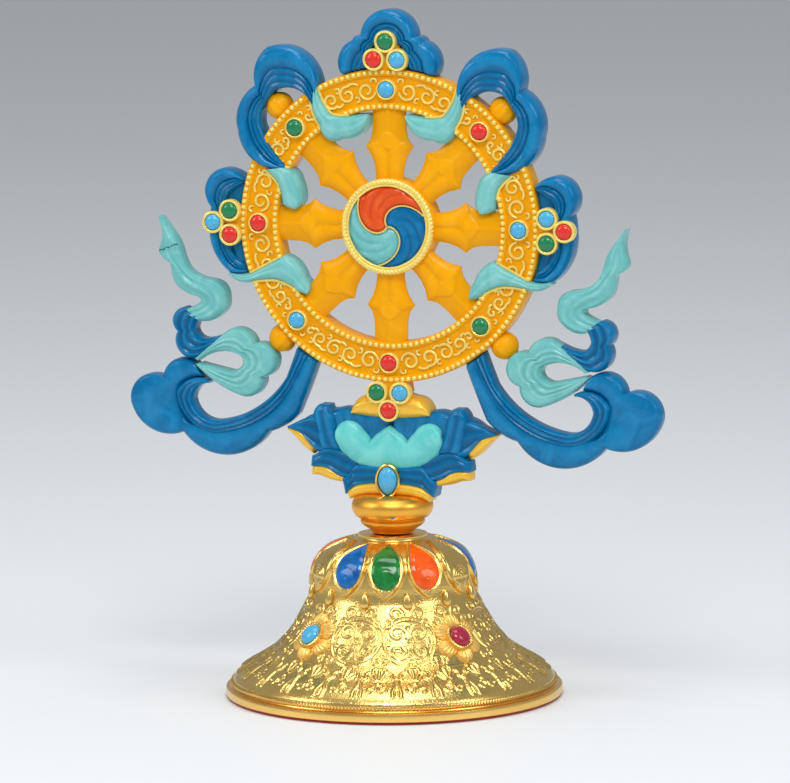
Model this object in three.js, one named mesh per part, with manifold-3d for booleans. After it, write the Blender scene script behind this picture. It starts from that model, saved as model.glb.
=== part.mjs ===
// A table-top dharma wheel: a flat relief casting of wheel, clouds, ribbons and lotus that stands
// on a bell-shaped base, with domed stones in cast bezels and a felt pad underneath.
// Millimetres, +Z up, the front faces -Y, and the origin is on the table under the bell's axis.
import * as THREE from 'three';
import { mergeVertices } from 'three/addons/utils/BufferGeometryUtils.js';
import Module from 'manifold-3d';

const wasm = await Module();
wasm.setup();

// Driving dimensions
const WHEEL_CENTRE_HEIGHT = 141.9;
const PANEL_FRONT = -1.6;
const PANEL_BACK = 6.0;
const RIM_INNER_RADIUS = 34.9;
const RIM_OUTER_RADIUS = 47.1;
const RIM_STONE_CIRCLE = 41.0;
const HUB_RADIUS = 14.5;
const WHIRL_TURN = 9;
const SPOKES = 8;
const SPOKE_THICKNESS = 3.6;
const SPOKE_SET_BACK = 0.6;
const KNOB_CIRCLE = 49.7;
const KNOB_RADIUS = 4.2;
const STONE_RADIUS = 2.4;
const STONE_HEIGHT = 1.9;
const STONE_GAP = 0.3;
const BEZEL_HEIGHT = 1.1;
const RIM_BEZEL_RADIUS = 3.1;
const CLUSTER_BEZEL_RADIUS = 3.35;
const CLUSTER_PAIR = { out: 49.9, aside: 3.67 };
const CLUSTER_TIP_OUT = 55.3;
const NECK_RADIUS = 12.3;
const BELL_RADIUS = 50.7;
const FELT_RADIUS = 49.8;
const FELT_THICKNESS = 0.8;
const BELL_PETALS = 12;
const PETAL_TURN = 13.5;
const BELL_STONE_TURN = 12.3;
const BELL_STONE_HEIGHT = 20.9;
const BELL_STONE_RADIUS = 3.4;

const GOLD_PAINT = new THREE.Color(0xf9ae0b);
const GILT = new THREE.Color(0xc9a23c);
const FELT_RED = new THREE.Color(0x9a2a2a);
const TURQUOISE = new THREE.Color(0x5cb6e8);
const GREEN = new THREE.Color(0x1e8f5a);
const CORAL = new THREE.Color(0xe8302a);

const radians = THREE.MathUtils.degToRad;

// Solids

function toSolid(geometry) {
  const bare = geometry.clone();
  bare.deleteAttribute('normal');
  bare.deleteAttribute('uv');
  const merged = mergeVertices(bare, 1e-4);
  const kept = [];
  const index = merged.index.array;
  for (let i = 0; i < index.length; i += 3) {
    const [a, b, c] = [index[i], index[i + 1], index[i + 2]];
    if (a !== b && b !== c && c !== a) kept.push(a, b, c);
  }
  return solidFrom(merged.attributes.position.array, kept);
}

function solidFrom(positions, triangles) {
  let volume = 0;
  const corner = (i) => new THREE.Vector3(positions[3 * i], positions[3 * i + 1], positions[3 * i + 2]);
  for (let i = 0; i < triangles.length; i += 3) {
    const [a, b, c] = [corner(triangles[i]), corner(triangles[i + 1]), corner(triangles[i + 2])];
    volume += a.dot(b.cross(c));
  }
  const facing = volume < 0 ? flipped(triangles) : triangles;
  return new wasm.Manifold(new wasm.Mesh({
    numProp: 3,
    vertProperties: new Float32Array(positions),
    triVerts: new Uint32Array(facing),
  }));
}

function flipped(triangles) {
  const turned = [];
  for (let i = 0; i < triangles.length; i += 3) {
    turned.push(triangles[i], triangles[i + 2], triangles[i + 1]);
  }
  return turned;
}

function toGeometry(solid) {
  const mesh = solid.getMesh();
  const geometry = new THREE.BufferGeometry();
  geometry.setAttribute('position', new THREE.BufferAttribute(new Float32Array(mesh.vertProperties), 3));
  geometry.setIndex(new THREE.BufferAttribute(new Uint32Array(mesh.triVerts), 1));
  return geometry;
}

// Loops of equal length, skinned one to the next and closed at both ends by a fan.
function loft(loops) {
  const positions = [];
  const triangles = [];
  const count = loops[0].length;
  loops.forEach((loop) => loop.forEach((p) => positions.push(...p)));
  for (let i = 0; i + 1 < loops.length; i += 1) {
    for (let j = 0; j < count; j += 1) {
      const a = i * count + j;
      const b = i * count + ((j + 1) % count);
      triangles.push(a, b, b + count, a, b + count, a + count);
    }
  }
  [0, loops.length - 1].forEach((which) => {
    const loop = loops[which];
    const hub = positions.length / 3;
    for (let k = 0; k < 3; k += 1) {
      positions.push(loop.reduce((sum, p) => sum + p[k], 0) / count);
    }
    for (let j = 0; j < count; j += 1) {
      const a = which * count + j;
      const b = which * count + ((j + 1) % count);
      triangles.push(...(which === 0 ? [hub, b, a] : [hub, a, b]));
    }
  });
  return solidFrom(positions, triangles);
}

// Arc edges: nodes are [x, z, bow], where bow is how far the arc to the next node
// stands out to the left of the straight line between the two.

const ARC_STEP = radians(28);

function arcSweep([x0, z0, bow = 0], [x1, z1]) {
  return 4 * Math.atan((2 * Math.abs(bow)) / Math.hypot(x1 - x0, z1 - z0));
}

const arcSteps = (from, to) => Math.max(1, Math.round(arcSweep(from, to) / ARC_STEP));

function arc(from, to, steps) {
  const [x0, z0, bow = 0] = from;
  const [x1, z1] = to;
  const chord = Math.hypot(x1 - x0, z1 - z0);
  const along = [(x1 - x0) / chord, (z1 - z0) / chord];
  const points = [];
  for (let i = 0; i < steps; i += 1) {
    const t = i / steps - 0.5;
    let reach = t * chord;
    let rise = 0;
    if (Math.abs(bow) > 0.01) {
      const sweep = arcSweep(from, to);
      const radius = chord / 2 / Math.sin(sweep / 2);
      reach = radius * Math.sin(t * sweep);
      rise = Math.sign(bow) * (radius * Math.cos(t * sweep) - radius * Math.cos(sweep / 2));
    }
    points.push([
      (x0 + x1) / 2 + along[0] * reach - along[1] * rise,
      (z0 + z1) / 2 + along[1] * reach + along[0] * rise,
    ]);
  }
  return points;
}

function edge(nodes, counts) {
  const points = [];
  for (let i = 0; i + 1 < nodes.length; i += 1) points.push(...arc(nodes[i], nodes[i + 1], counts[i]));
  const [x, z] = nodes[nodes.length - 1];
  points.push([x, z]);
  return points;
}

// A closed outline of arcs, without its first point again at the end.
function outlineLoop(nodes) {
  const closed = [...nodes, nodes[0].slice(0, 2)];
  const counts = nodes.map((node, i) => arcSteps(node, closed[i + 1]));
  return edge(closed, counts).slice(0, -1);
}

// Cross-sections of a cast band: [how far across, how far proud of the panel's face].
const FLUTED = [[0, 0.2], [0.32, -0.4], [0.7, 0.9], [1, -0.3]];
const ROUNDED = [[0, -1], [0.3, 0.6], [0.7, 0.6], [1, -1]];
const PLAIN_BACK = [[1, 0], [0, 0]];

// A band runs between two arc edges with the same number of arcs.
function band({ inner, outer, front = FLUTED, lift = 0, thin = 0 }) {
  const counts = inner.slice(1).map((to, i) => (
    Math.max(arcSteps(inner[i], to), arcSteps(outer[i], outer[i + 1]))
  ));
  const inside = edge(inner, counts);
  const outside = edge(outer, counts);
  const loops = inside.map((a, i) => {
    const b = outside[i];
    const across = (v, y) => [a[0] + (b[0] - a[0]) * v, y, a[1] + (b[1] - a[1]) * v];
    return [
      ...front.map(([v, proud]) => across(v, PANEL_FRONT - lift - proud)),
      ...PLAIN_BACK.map(([v, proud]) => across(v, PANEL_BACK - thin + proud)),
    ];
  });
  return loft(loops);
}

// Lathe work whose axis is the panel's normal; the profile is [radius, how far behind the origin].
function turnedFlat(profile, segments, x = 0, z = 0) {
  const points = profile.map(([r, y]) => new THREE.Vector2(r, y));
  return toSolid(new THREE.LatheGeometry(points, segments)).translate([x, 0, z]);
}

// Lathe work that stands upright; the profile is [radius, height].
function turnedUpright(profile, segments) {
  const points = profile.map(([r, z]) => new THREE.Vector2(r, z));
  return toSolid(new THREE.LatheGeometry(points, segments).rotateX(Math.PI / 2));
}

const mirrored = (solid) => solid.mirror([1, 0, 0]);
const joined = (solids) => solids.reduce((sum, solid) => sum.add(solid));

// Wheel

function rim() {
  const [inner, outer] = [RIM_INNER_RADIUS, RIM_OUTER_RADIUS];
  return turnedFlat([
    [inner, PANEL_FRONT - 0.4],
    [inner + 2.1, PANEL_FRONT],
    [outer - 2.1, PANEL_FRONT],
    [outer, PANEL_FRONT - 0.4],
    [outer, PANEL_BACK],
    [inner, PANEL_BACK],
    [inner, PANEL_FRONT - 0.4],
  ], 56);
}

// Half widths of a spoke along the wheel's radius: [radius, half width].
const SPOKE_OUTLINE = [[13.5, 4.3], [18, 4.7], [22, 6.0], [24.6, 7.7], [26.6, 6.0], [30, 5.2], [36.5, 5.2]];

function spoke(degrees) {
  const ridge = PANEL_FRONT + SPOKE_SET_BACK;
  const loops = SPOKE_OUTLINE.map(([r, half]) => [
    [-half, ridge + 1.3, r],
    [-half * 0.6, ridge + 0.4, r],
    [0, ridge, r],
    [half * 0.6, ridge + 0.4, r],
    [half, ridge + 1.3, r],
    [half * 0.8, ridge + SPOKE_THICKNESS, r],
    [-half * 0.8, ridge + SPOKE_THICKNESS, r],
  ]);
  return loft(loops).rotate([0, degrees, 0]);
}

function hub() {
  const face = PANEL_FRONT - 0.6;
  return turnedFlat([
    [0, face],
    [12.3, face],
    [12.8, face - 0.9],
    [HUB_RADIUS, face - 0.9],
    [HUB_RADIUS, PANEL_BACK + 0.4],
    [0, PANEL_BACK + 0.4],
  ], 32);
}

// The three-part whirl on the hub: each part lies between two spiral lines and is ridged down its middle.
function whirl() {
  return [5, 125, 245].map((start) => {
    const at = (r, share, proud) => {
      const angle = radians(start + 120 * share - WHIRL_TURN * r);
      return [r * Math.cos(angle), PANEL_FRONT - proud, r * Math.sin(angle)];
    };
    return loft([1.2, 4.5, 8, 11.8].map((r) => (
      [at(r, 0.08, 0.5), at(r, 0.5, 1.4), at(r, 0.92, 0.5), at(r, 0.5, -1)]
    )));
  });
}

function knob(degrees) {
  const middle = (PANEL_FRONT + PANEL_BACK) / 2;
  const profile = [];
  for (let i = 0; i <= 5; i += 1) {
    const t = -Math.PI / 2 + (i * Math.PI) / 5;
    profile.push([Math.max(KNOB_RADIUS * Math.cos(t), 0), KNOB_RADIUS * Math.sin(t)]);
  }
  const t = radians(degrees);
  return turnedUpright(profile, 10)
    .translate([KNOB_CIRCLE * Math.cos(t), middle, KNOB_CIRCLE * Math.sin(t)]);
}

// Clouds, tails and ribbons of the left half; the right half is their mirror image.

const TOP_CLOUD = {
  inner: [[-6.5, 42, 1], [-5, 50, 1], [-2.8, 54.5, 2.2], [2.8, 54.5, 1], [5, 50, 1], [6.5, 42]],
  outer: [[-13.5, 43.5, 3.4], [-11.3, 55.4, 0.6], [-8.7, 56.8, 8], [8.7, 56.8, 0.6], [11.3, 55.4, 3.4],
    [13.5, 43.5]],
};
const SHOULDER_CLOUD = {
  inner: [[-32, 17.4, 0.9], [-40.2, 29.5, 0.8], [-38.5, 36.1, 0.3], [-35.6, 39.9, 2.8], [-24, 35.3]],
  outer: [[-32.6, 16.4, 4.3], [-47.7, 27.5, 2.7], [-41.8, 41.5, 2.0], [-38, 53, 4.7], [-21.7, 42.1]],
};
const SIDE_CLOUD = {
  inner: [[-41, -12.6, 0.5], [-47, -12, 1.4], [-50.5, -4, 0.2], [-51, 3, 1.6], [-49, 9.5, 0.8],
    [-45, 11]],
  outer: [[-41.5, -14.4, 0.6], [-50.8, -15.6, 2.2], [-57.4, -1, 0.2], [-56.8, 4.4, 3.9],
    [-52.5, 16.2, 0.9], [-45.5, 12.8]],
};
const UPPER_TAIL = {
  inner: [[-21.8, 41.4, -0.6], [-17.5, 33.4, -0.3], [-12, 33, 0.1], [-6.2, 33.6]],
  outer: [[-23, 41.6, -1.7], [-21.5, 29.9, -2.6], [-14.1, 25.8, -2.3], [-5.6, 32.8]],
};
const MIDDLE_TAIL = {
  inner: [[-32.5, 17, 1.0], [-28.2, 13.5, 0.3], [-27, 8, 0.4], [-28.5, 4.8]],
  outer: [[-39.1, 16.1, 0.3], [-34.8, 11.8, 0.1], [-33.6, 5.8, -0.3], [-30, 4.4]],
};
const LOWER_TAIL = {
  inner: [[-50.6, -15.1, -0.6], [-43, -14.7, 0], [-33, -9.4, 1.2], [-26.6, -16, 0.5], [-25.1, -20]],
  outer: [[-50.8, -16.1, -0.9], [-44, -18.2, 0.3], [-36, -17.2, 0.2], [-30.5, -19.2, -0.6], [-26, -21.2]],
};
const RIBBON_SKIRT = {
  inner: [[-24, -33, 0.3], [-32, -52, 0.8], [-40.6, -59.3, 1.5], [-64, -61.3, 0.8], [-67.5, -55, 0.6],
    [-67, -50, 0.8], [-60, -47.6]],
  outer: [[-20.5, -33, 0.4], [-29.8, -57.6, 0.9], [-39.4, -63.7, 7.1], [-66.9, -64.7, 4.4],
    [-84, -55.8, 4.0], [-73.3, -47.8, 3.3], [-62.6, -43.2]],
};
const RIBBON_FLOW = {
  inner: [[-27, -30, 0.1], [-33.2, -46.6, 2.7], [-54.6, -60.4, 2.2], [-63.2, -54.3, 1.4], [-58, -49.3]],
  outer: [[-21.5, -30, 0.4], [-28.4, -44.6, 4.1], [-52, -64.2, 5], [-68.7, -52, 2.3], [-57.6, -48.5]],
};
const RIBBON_LOOP = {
  inner: [[-61, -42.4, 0.5], [-54, -39.6, 0.3], [-49, -40.3, 1.6], [-48.6, -44.5, 0.3], [-51.5, -45.2, 0],
    [-61, -43.2]],
  outer: [[-62.5, -41.7, 0.3], [-51.6, -32.8, 2.2], [-43, -36.5, 5.5], [-40.3, -47, 2.1],
    [-47, -53.1, 1.3], [-62.5, -43.6]],
};
const RIBBON_CURL = {
  inner: [[-52.4, -33.6, 0.3], [-58.6, -35.7, 1.0], [-62.5, -33, 0.3], [-61, -29.6]],
  outer: [[-52.6, -34.8, 0.4], [-60.4, -40.8, 4.3], [-68.3, -33.9, 2.6], [-66, -26.4]],
};
const RIBBON_TIP = {
  inner: [[-66, -27.2, -0.2], [-60.4, -24.6, 0.2], [-60.8, -23.1, 0.9], [-69, -19.3, 0.3],
    [-70.3, -12.7, 0.8], [-74.2, -9.5, -0.3], [-72.8, -3.9, -0.3], [-73.9, 1.1]],
  outer: [[-60.5, -30.6, -0.9], [-54.2, -28.4, -1.0], [-52.1, -23.6, -2.0], [-57.5, -17.7, 0.6],
    [-64.6, -14.8, 0.3], [-67.2, -7.6, -0.2], [-70.6, -2.6, 0], [-73.2, 0.9]],
};

function sidePieces() {
  return [
    band({ ...SHOULDER_CLOUD, lift: 0.2 }),
    band({ ...SIDE_CLOUD, lift: -0.3 }),
    band({ ...UPPER_TAIL, front: ROUNDED, lift: 0.5 }),
    band({ ...MIDDLE_TAIL, front: ROUNDED, lift: 0.45 }),
    band({ ...LOWER_TAIL, front: ROUNDED, lift: 0.4 }),
    band({ ...RIBBON_SKIRT, front: ROUNDED, lift: -0.9, thin: 1.4 }),
    band({ ...RIBBON_FLOW, lift: 0.1, thin: 2.4 }),
    band({ ...RIBBON_LOOP, lift: -0.2, thin: 2 }),
    band({ ...RIBBON_CURL, lift: -0.4, thin: 1.2 }),
    band({ ...RIBBON_TIP, lift: -0.6, thin: 1.8 }),
  ];
}

// Lotus

// A cap whose outline is an arc edge and whose face swells forward from a low border.
function pillow(outline, { border, crown, back }) {
  const loop = outlineLoop(outline);
  const centre = [0, 1].map((k) => loop.reduce((sum, p) => sum + p[k], 0) / loop.length);
  const ring = (scale, y) => loop.map(([x, z]) => [
    centre[0] + (x - centre[0]) * scale,
    y,
    centre[1] + (z - centre[1]) * scale,
  ]);
  return loft([
    ring(1, PANEL_BACK - back),
    ring(1, PANEL_FRONT - border),
    ring(0.8, PANEL_FRONT - (border + crown) * 0.62),
    ring(0.45, PANEL_FRONT - crown),
  ]);
}

// Left half of the lotus, from the top middle round to the bottom middle.
const LOTUS_BODY = [[0, -56.5, 0], [-12, -56, 0.6], [-18, -57.6, 1.6], [-24.8, -57.6, 0], [-28, -60.6, 0],
  [-22.5, -68.5, 0], [-23.6, -72.5, 0], [-13.8, -76.4, 0], [-11.4, -81.2, 0], [0, -81.5, 0]];
const LOTUS_HEART = [[0, -59.4, 0], [-6, -63, 1.6], [-11.8, -58.5, 0.9], [-15.4, -62, 2.0], [-9, -70.6, 0.7],
  [0, -72, 0]];
const OUTER_PETAL = {
  inner: [[-20, -56.9, -0.2], [-26.8, -58.9, -0.1], [-33.3, -61.5]],
  outer: [[-19.5, -69.2, 0.2], [-26.2, -68.6, 0.9], [-33.0, -62.4]],
};
const CURLED_PETAL = {
  inner: [[-13.6, -66, -0.5], [-16.8, -60, 0.5], [-20.6, -55.2]],
  outer: [[-19.4, -66.6, 1.0], [-22.4, -60, 0.3], [-24.6, -55.8]],
};
const LOWER_PETAL = {
  inner: [[-9, -71.2, -0.6], [-17, -67.5, -0.9], [-25.3, -71.4]],
  outer: [[-10.5, -77.4, 0.2], [-18, -77.3, 0.6], [-24.9, -75.9]],
};
const LIP_PETAL = {
  inner: [[-1.5, -72.3, -0.2], [-9.5, -72.4, -0.7], [-13.7, -78.2]],
  outer: [[-1.5, -78.6, 0.5], [-7.4, -79.2, 0.6], [-12.6, -82]],
};
const GOLD_DOME = [[0, -50.6, 0], [-7.4, -51, 1.3], [-12.2, -56, 0], [0, -60, 0]];

// Mirrors an open half outline that starts and ends on the middle line.
function wholeOutline(half) {
  const back = [];
  for (let i = half.length - 1; i > 0; i -= 1) {
    const [x, z] = half[i];
    if (i < half.length - 1) back.push([-x, z, half[i - 1][2]]);
    else back.push([x, z, half[i - 1][2]]);
  }
  return [...half.slice(0, -1), ...back];
}

function lotus() {
  const petals = [
    band({ ...OUTER_PETAL, front: ROUNDED, lift: 0.2 }),
    band({ ...CURLED_PETAL, front: ROUNDED, lift: 0.8, thin: 2 }),
    band({ ...LOWER_PETAL, front: ROUNDED, lift: 1.0, thin: 2 }),
    band({ ...LIP_PETAL, front: ROUNDED, lift: 1.5, thin: 2 }),
  ];
  return [
    pillow(wholeOutline(LOTUS_BODY), { border: 0, crown: 1.6, back: 0.2 }),
    pillow(wholeOutline(LOTUS_HEART), { border: 0.6, crown: 2.4, back: 3 }),
    pillow(wholeOutline(GOLD_DOME), { border: 0.2, crown: 1.4, back: 0.4 }),
    ...petals,
    ...petals.map(mirrored),
  ];
}

// The turned neck, from the joint with the bell up into the lotus; heights above the table.
const NECK_PROFILE = [[0, 49.6], [6.2, 49.6], [9.6, 52.4], [9.2, 54.0], [11.6, 55.0], [NECK_RADIUS, 57.6],
  [11.7, 60.0], [8.0, 63.5], [0, 63.5]];

function neck() {
  return turnedUpright(NECK_PROFILE, 22).translate([0, 0, -WHEEL_CENTRE_HEIGHT]);
}

// Stones and their bezels

const stoneProfile = (radius, height) => [
  [0, 0],
  [radius, 0],
  [radius, height * 0.25],
  [radius * 0.74, height * 0.78],
  [0, height],
];

// Seats on the panel: name, place, colour, and how far the seat stands proud of the face.
function panelSeats() {
  const seats = [];
  const rimColours = [TURQUOISE, CORAL, TURQUOISE, GREEN, CORAL, TURQUOISE, CORAL, GREEN];
  rimColours.forEach((colour, i) => {
    const t = radians(90 - 45 * i);
    seats.push({
      name: `rim_stone_${i + 1}`,
      x: RIM_STONE_CIRCLE * Math.cos(t),
      z: RIM_STONE_CIRCLE * Math.sin(t),
      proud: 0.3,
      bezel: RIM_BEZEL_RADIUS,
      colour,
    });
  });
  // Each group of three: the pair against the rim, then the outermost stone.
  const groups = [
    { name: 'top', degrees: 90, colours: [CORAL, TURQUOISE, GREEN], proud: 0.9 },
    { name: 'right', degrees: 0, colours: [TURQUOISE, GREEN, CORAL], proud: 0.9 },
    { name: 'left', degrees: 180, colours: [CORAL, GREEN, TURQUOISE], proud: 0.9 },
    { name: 'bottom', degrees: -90, colours: [TURQUOISE, GREEN, CORAL], proud: 0.9 },
  ];
  groups.forEach(({ name, degrees, colours, proud }) => {
    const t = radians(degrees);
    const places = [
      [CLUSTER_PAIR.out, CLUSTER_PAIR.aside],
      [CLUSTER_PAIR.out, -CLUSTER_PAIR.aside],
      [CLUSTER_TIP_OUT, 0],
    ];
    places.forEach(([out, aside], i) => {
      seats.push({
        name: `${name}_group_stone_${i + 1}`,
        x: out * Math.cos(t) - aside * Math.sin(t),
        z: out * Math.sin(t) + aside * Math.cos(t),
        proud,
        bezel: CLUSTER_BEZEL_RADIUS,
        colour: colours[i],
      });
    });
  });
  return seats;
}

// A round seat with a raised bezel, sunk into the casting behind it.
function bezel(seat) {
  const floor = PANEL_FRONT - seat.proud;
  const bore = STONE_RADIUS + STONE_GAP;
  return turnedFlat([
    [0, floor],
    [bore, floor],
    [bore, floor - BEZEL_HEIGHT],
    [seat.bezel, floor - BEZEL_HEIGHT * 0.8],
    [seat.bezel, PANEL_BACK - 2],
    [0, PANEL_BACK - 2],
  ], 10, seat.x, seat.z);
}

function clearance(seat) {
  const floor = PANEL_FRONT - seat.proud;
  const bore = STONE_RADIUS + STONE_GAP;
  return turnedFlat([[0, floor], [bore, floor], [bore, floor - 6], [0, floor - 6]], 10, seat.x, seat.z);
}

// The web of metal behind a group of three stones, as thick as the panel.
function groupWeb(degrees) {
  const [out, aside] = [CLUSTER_PAIR.out, CLUSTER_PAIR.aside];
  const outline = [[45, 6.6, 0], [out, aside + 3.3, 0], [CLUSTER_TIP_OUT, 3.3, 1.5],
    [CLUSTER_TIP_OUT, -3.3, 0], [out, -aside - 3.3, 0], [45, -6.6, 0]];
  const loop = outlineLoop(outline);
  const at = (y) => loop.map(([u, v]) => [u, y, v]);
  return loft([at(PANEL_FRONT - 0.5), at(PANEL_BACK - 0.5)]).rotate([0, -degrees, 0]);
}

// The pointed oval stone at the foot of the lotus: [across, down from its middle].
const LOTUS_STONE = { z: -76.2, half: 3.0, reach: 4.1, seat: 2.2 };

function lotusStoneLoop(grow, y) {
  const loop = [];
  for (let i = 0; i < 16; i += 1) {
    const t = (i * Math.PI) / 8;
    const point = t > Math.PI ? 1 + 0.22 * Math.sin(t) ** 2 : 1;
    loop.push([
      (LOTUS_STONE.half + grow) * Math.cos(t) * (t > Math.PI ? 1 - 0.16 * Math.sin(t) ** 2 : 1),
      y,
      LOTUS_STONE.z + (LOTUS_STONE.reach * point + grow) * Math.sin(t),
    ]);
  }
  return loop;
}

function lotusBezel() {
  const floor = PANEL_FRONT - LOTUS_STONE.seat;
  const rimFace = floor - BEZEL_HEIGHT;
  const body = loft([lotusStoneLoop(0.95, PANEL_FRONT + 3), lotusStoneLoop(0.95, rimFace + 0.3),
    lotusStoneLoop(0.7, rimFace)]);
  const bore = loft([lotusStoneLoop(STONE_GAP, floor), lotusStoneLoop(STONE_GAP, floor - 4)]);
  return { body, bore };
}

function lotusStone() {
  const floor = PANEL_FRONT - LOTUS_STONE.seat;
  return loft([
    lotusStoneLoop(0, floor),
    lotusStoneLoop(0, floor - 0.8),
    lotusStoneLoop(-0.9, floor - 1.8),
    lotusStoneLoop(-2.0, floor - 2.2),
  ]);
}

function panel() {
  const left = sidePieces();
  const spokes = [];
  for (let i = 0; i < SPOKES; i += 1) spokes.push(spoke((360 / SPOKES) * i));
  const seats = panelSeats();
  const stoneBezel = lotusBezel();
  const body = joined([
    rim(),
    hub(),
    ...whirl(),
    ...spokes,
    ...[45, 135, 225, 315].map(knob),
    band({ ...TOP_CLOUD, lift: -0.2 }),
    ...left,
    ...left.map(mirrored),
    ...[0, 90, 180, 270].map(groupWeb),
    ...lotus(),
    neck(),
    stoneBezel.body,
  ]);
  const opened = seats.reduce((rest, seat) => rest.subtract(clearance(seat)), body);
  const seated = seats.reduce((rest, seat) => rest.add(bezel(seat)), opened);
  return seated.subtract(stoneBezel.bore);
}

// Bell

// Radius of the bell at a height, from its silhouette: [radius, height].
const BELL_PROFILE = [[BELL_RADIUS - 0.4, FELT_THICKNESS], [BELL_RADIUS, 3.0], [49.4, 3.6], [48.6, 5.4],
  [46.0, 8.4], [36.4, 14.4], [31.8, 18.9], [28.2, 25.0], [25.2, 30.8], [24.0, 35.0], [23.6, 38.7],
  [21.6, 42.8], [16.4, 46.0], [10.6, 48.0], [10.2, 49.2]];

const PETAL_TIP_HEIGHT = 32.6;
const PETAL_ROOT_HEIGHT = 47.6;
const PETAL_RISE = 1.3;

// How far the ring of petals stands proud of the bell at a height, at a turn within one petal (-1 to 1).
function petalRise(turn, height) {
  const along = (PETAL_ROOT_HEIGHT - height) / (PETAL_ROOT_HEIGHT - PETAL_TIP_HEIGHT);
  if (along <= 0) return 0;
  const tipLimit = 1 - 0.28 * Math.abs(turn) ** 1.5;
  if (along > tipLimit + 0.001) return 0;
  return PETAL_RISE * Math.min(1, along * 2.5) * (1 - 0.45 * turn * turn);
}

function bell() {
  const perPetal = 4;
  const columns = BELL_PETALS * perPetal;
  const loops = BELL_PROFILE.map(([radius, height]) => {
    const loop = [];
    for (let i = 0; i < columns; i += 1) {
      const turn = ((i + perPetal / 2) % perPetal) / (perPetal / 2) - 1;
      const r = radius + petalRise(turn, height);
      const t = radians(PETAL_TURN + (360 / columns) * i);
      loop.push([r * Math.sin(t), -r * Math.cos(t), height]);
    }
    return loop;
  });
  return loft(loops);
}

// A stone seat on the bell leans with the wall; its own axis is +Z before it is set in place.
const BELL_SEAT = { radius: 30.5, lean: 50, floor: 0.6 };

function onBell(solid, degrees) {
  const t = radians(degrees);
  return solid
    .rotate([BELL_SEAT.lean, 0, 0])
    .translate([0, -BELL_SEAT.radius, BELL_STONE_HEIGHT])
    .rotate([0, 0, THREE.MathUtils.radToDeg(t)]);
}

const bellStoneTurns = [-45, 45, 135, 225].map((step) => BELL_STONE_TURN + step);

function rosette() {
  const bore = BELL_STONE_RADIUS + STONE_GAP;
  const top = BELL_SEAT.floor + BEZEL_HEIGHT;
  return turnedUpright([[0, -4], [7, -4], [6.6, -0.4], [4.4, 0.4], [4.2, top], [bore, top],
    [bore, BELL_SEAT.floor], [0, BELL_SEAT.floor]], 12);
}

function bellStone() {
  return turnedUpright(stoneProfile(BELL_STONE_RADIUS, STONE_HEIGHT + 0.7), 12)
    .translate([0, 0, BELL_SEAT.floor + 0.05]);
}

function bellBase() {
  return bellStoneTurns.reduce((sum, turn) => sum.add(onBell(rosette(), turn)), bell());
}

// Scene

function piece(name, solid, colour, roughness, metalness) {
  const material = new THREE.MeshStandardMaterial({ color: colour, roughness, metalness });
  const mesh = new THREE.Mesh(toGeometry(solid), material);
  mesh.name = name;
  return mesh;
}

const ornament = new THREE.Group();

const upper = new THREE.Group();
upper.position.z = WHEEL_CENTRE_HEIGHT;
upper.add(piece('wheel_and_lotus_casting', panel(), GOLD_PAINT, 0.35, 0.1));
panelSeats().forEach((seat) => {
  const floor = PANEL_FRONT - seat.proud - 0.05;
  const profile = stoneProfile(STONE_RADIUS, STONE_HEIGHT).map(([r, h]) => [r, floor - h]);
  upper.add(piece(seat.name, turnedFlat(profile, 10, seat.x, seat.z), seat.colour, 0.2, 0));
});
upper.add(piece('lotus_stone', lotusStone().translate([0, -0.05, 0]), TURQUOISE, 0.2, 0));
ornament.add(upper);

ornament.add(piece('bell_base', bellBase(), GILT, 0.3, 1));
const bellStoneColours = [TURQUOISE, CORAL, TURQUOISE, CORAL];
bellStoneTurns.forEach((turn, i) => {
  ornament.add(piece(`bell_stone_${i + 1}`, onBell(bellStone(), turn), bellStoneColours[i], 0.2, 0));
});

const feltTop = FELT_THICKNESS - 0.05;
const felt = turnedUpright([[0, 0], [FELT_RADIUS, 0], [FELT_RADIUS, feltTop], [0, feltTop]], 48);
ornament.add(piece('felt_pad', felt, FELT_RED, 0.95, 0));

export default ornament;
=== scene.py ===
"""Looks of a table-top dharma wheel: an enamelled relief casting on a gilt, chased bell.

Lengths are written in millimetres and turned to metres where a mesh is made.
Panel coordinates are x to the right and z up from the wheel's centre, with relief heights
counted forward from the panel's face.
"""
import math

import bmesh
import bpy
import numpy as np
from bpy.props import FloatProperty, FloatVectorProperty, IntProperty, PointerProperty
from mathutils import Matrix, Vector


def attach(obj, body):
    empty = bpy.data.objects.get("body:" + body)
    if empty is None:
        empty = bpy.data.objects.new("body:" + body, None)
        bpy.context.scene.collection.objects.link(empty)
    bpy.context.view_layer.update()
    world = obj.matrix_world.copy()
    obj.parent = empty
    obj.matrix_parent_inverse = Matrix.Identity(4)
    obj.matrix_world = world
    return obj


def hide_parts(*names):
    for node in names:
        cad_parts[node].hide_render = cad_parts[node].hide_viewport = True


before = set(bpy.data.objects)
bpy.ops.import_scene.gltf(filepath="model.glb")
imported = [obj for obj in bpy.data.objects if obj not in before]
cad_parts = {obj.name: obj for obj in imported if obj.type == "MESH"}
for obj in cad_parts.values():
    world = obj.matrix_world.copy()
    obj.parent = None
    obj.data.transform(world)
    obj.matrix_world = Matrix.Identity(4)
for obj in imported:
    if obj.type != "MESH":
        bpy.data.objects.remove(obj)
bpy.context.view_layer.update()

bl_info = {
    "name": "Dharma wheel ornament",
    "version": (1, 0, 0),
    "blender": (4, 5, 0),
    "location": "View3D > Sidebar > Dharma wheel",
    "description": "Builds an enamelled dharma wheel with clouds, ribbons and a lotus on a gilt bell",
    "category": "Add Mesh",
}

MM = 0.001

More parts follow.
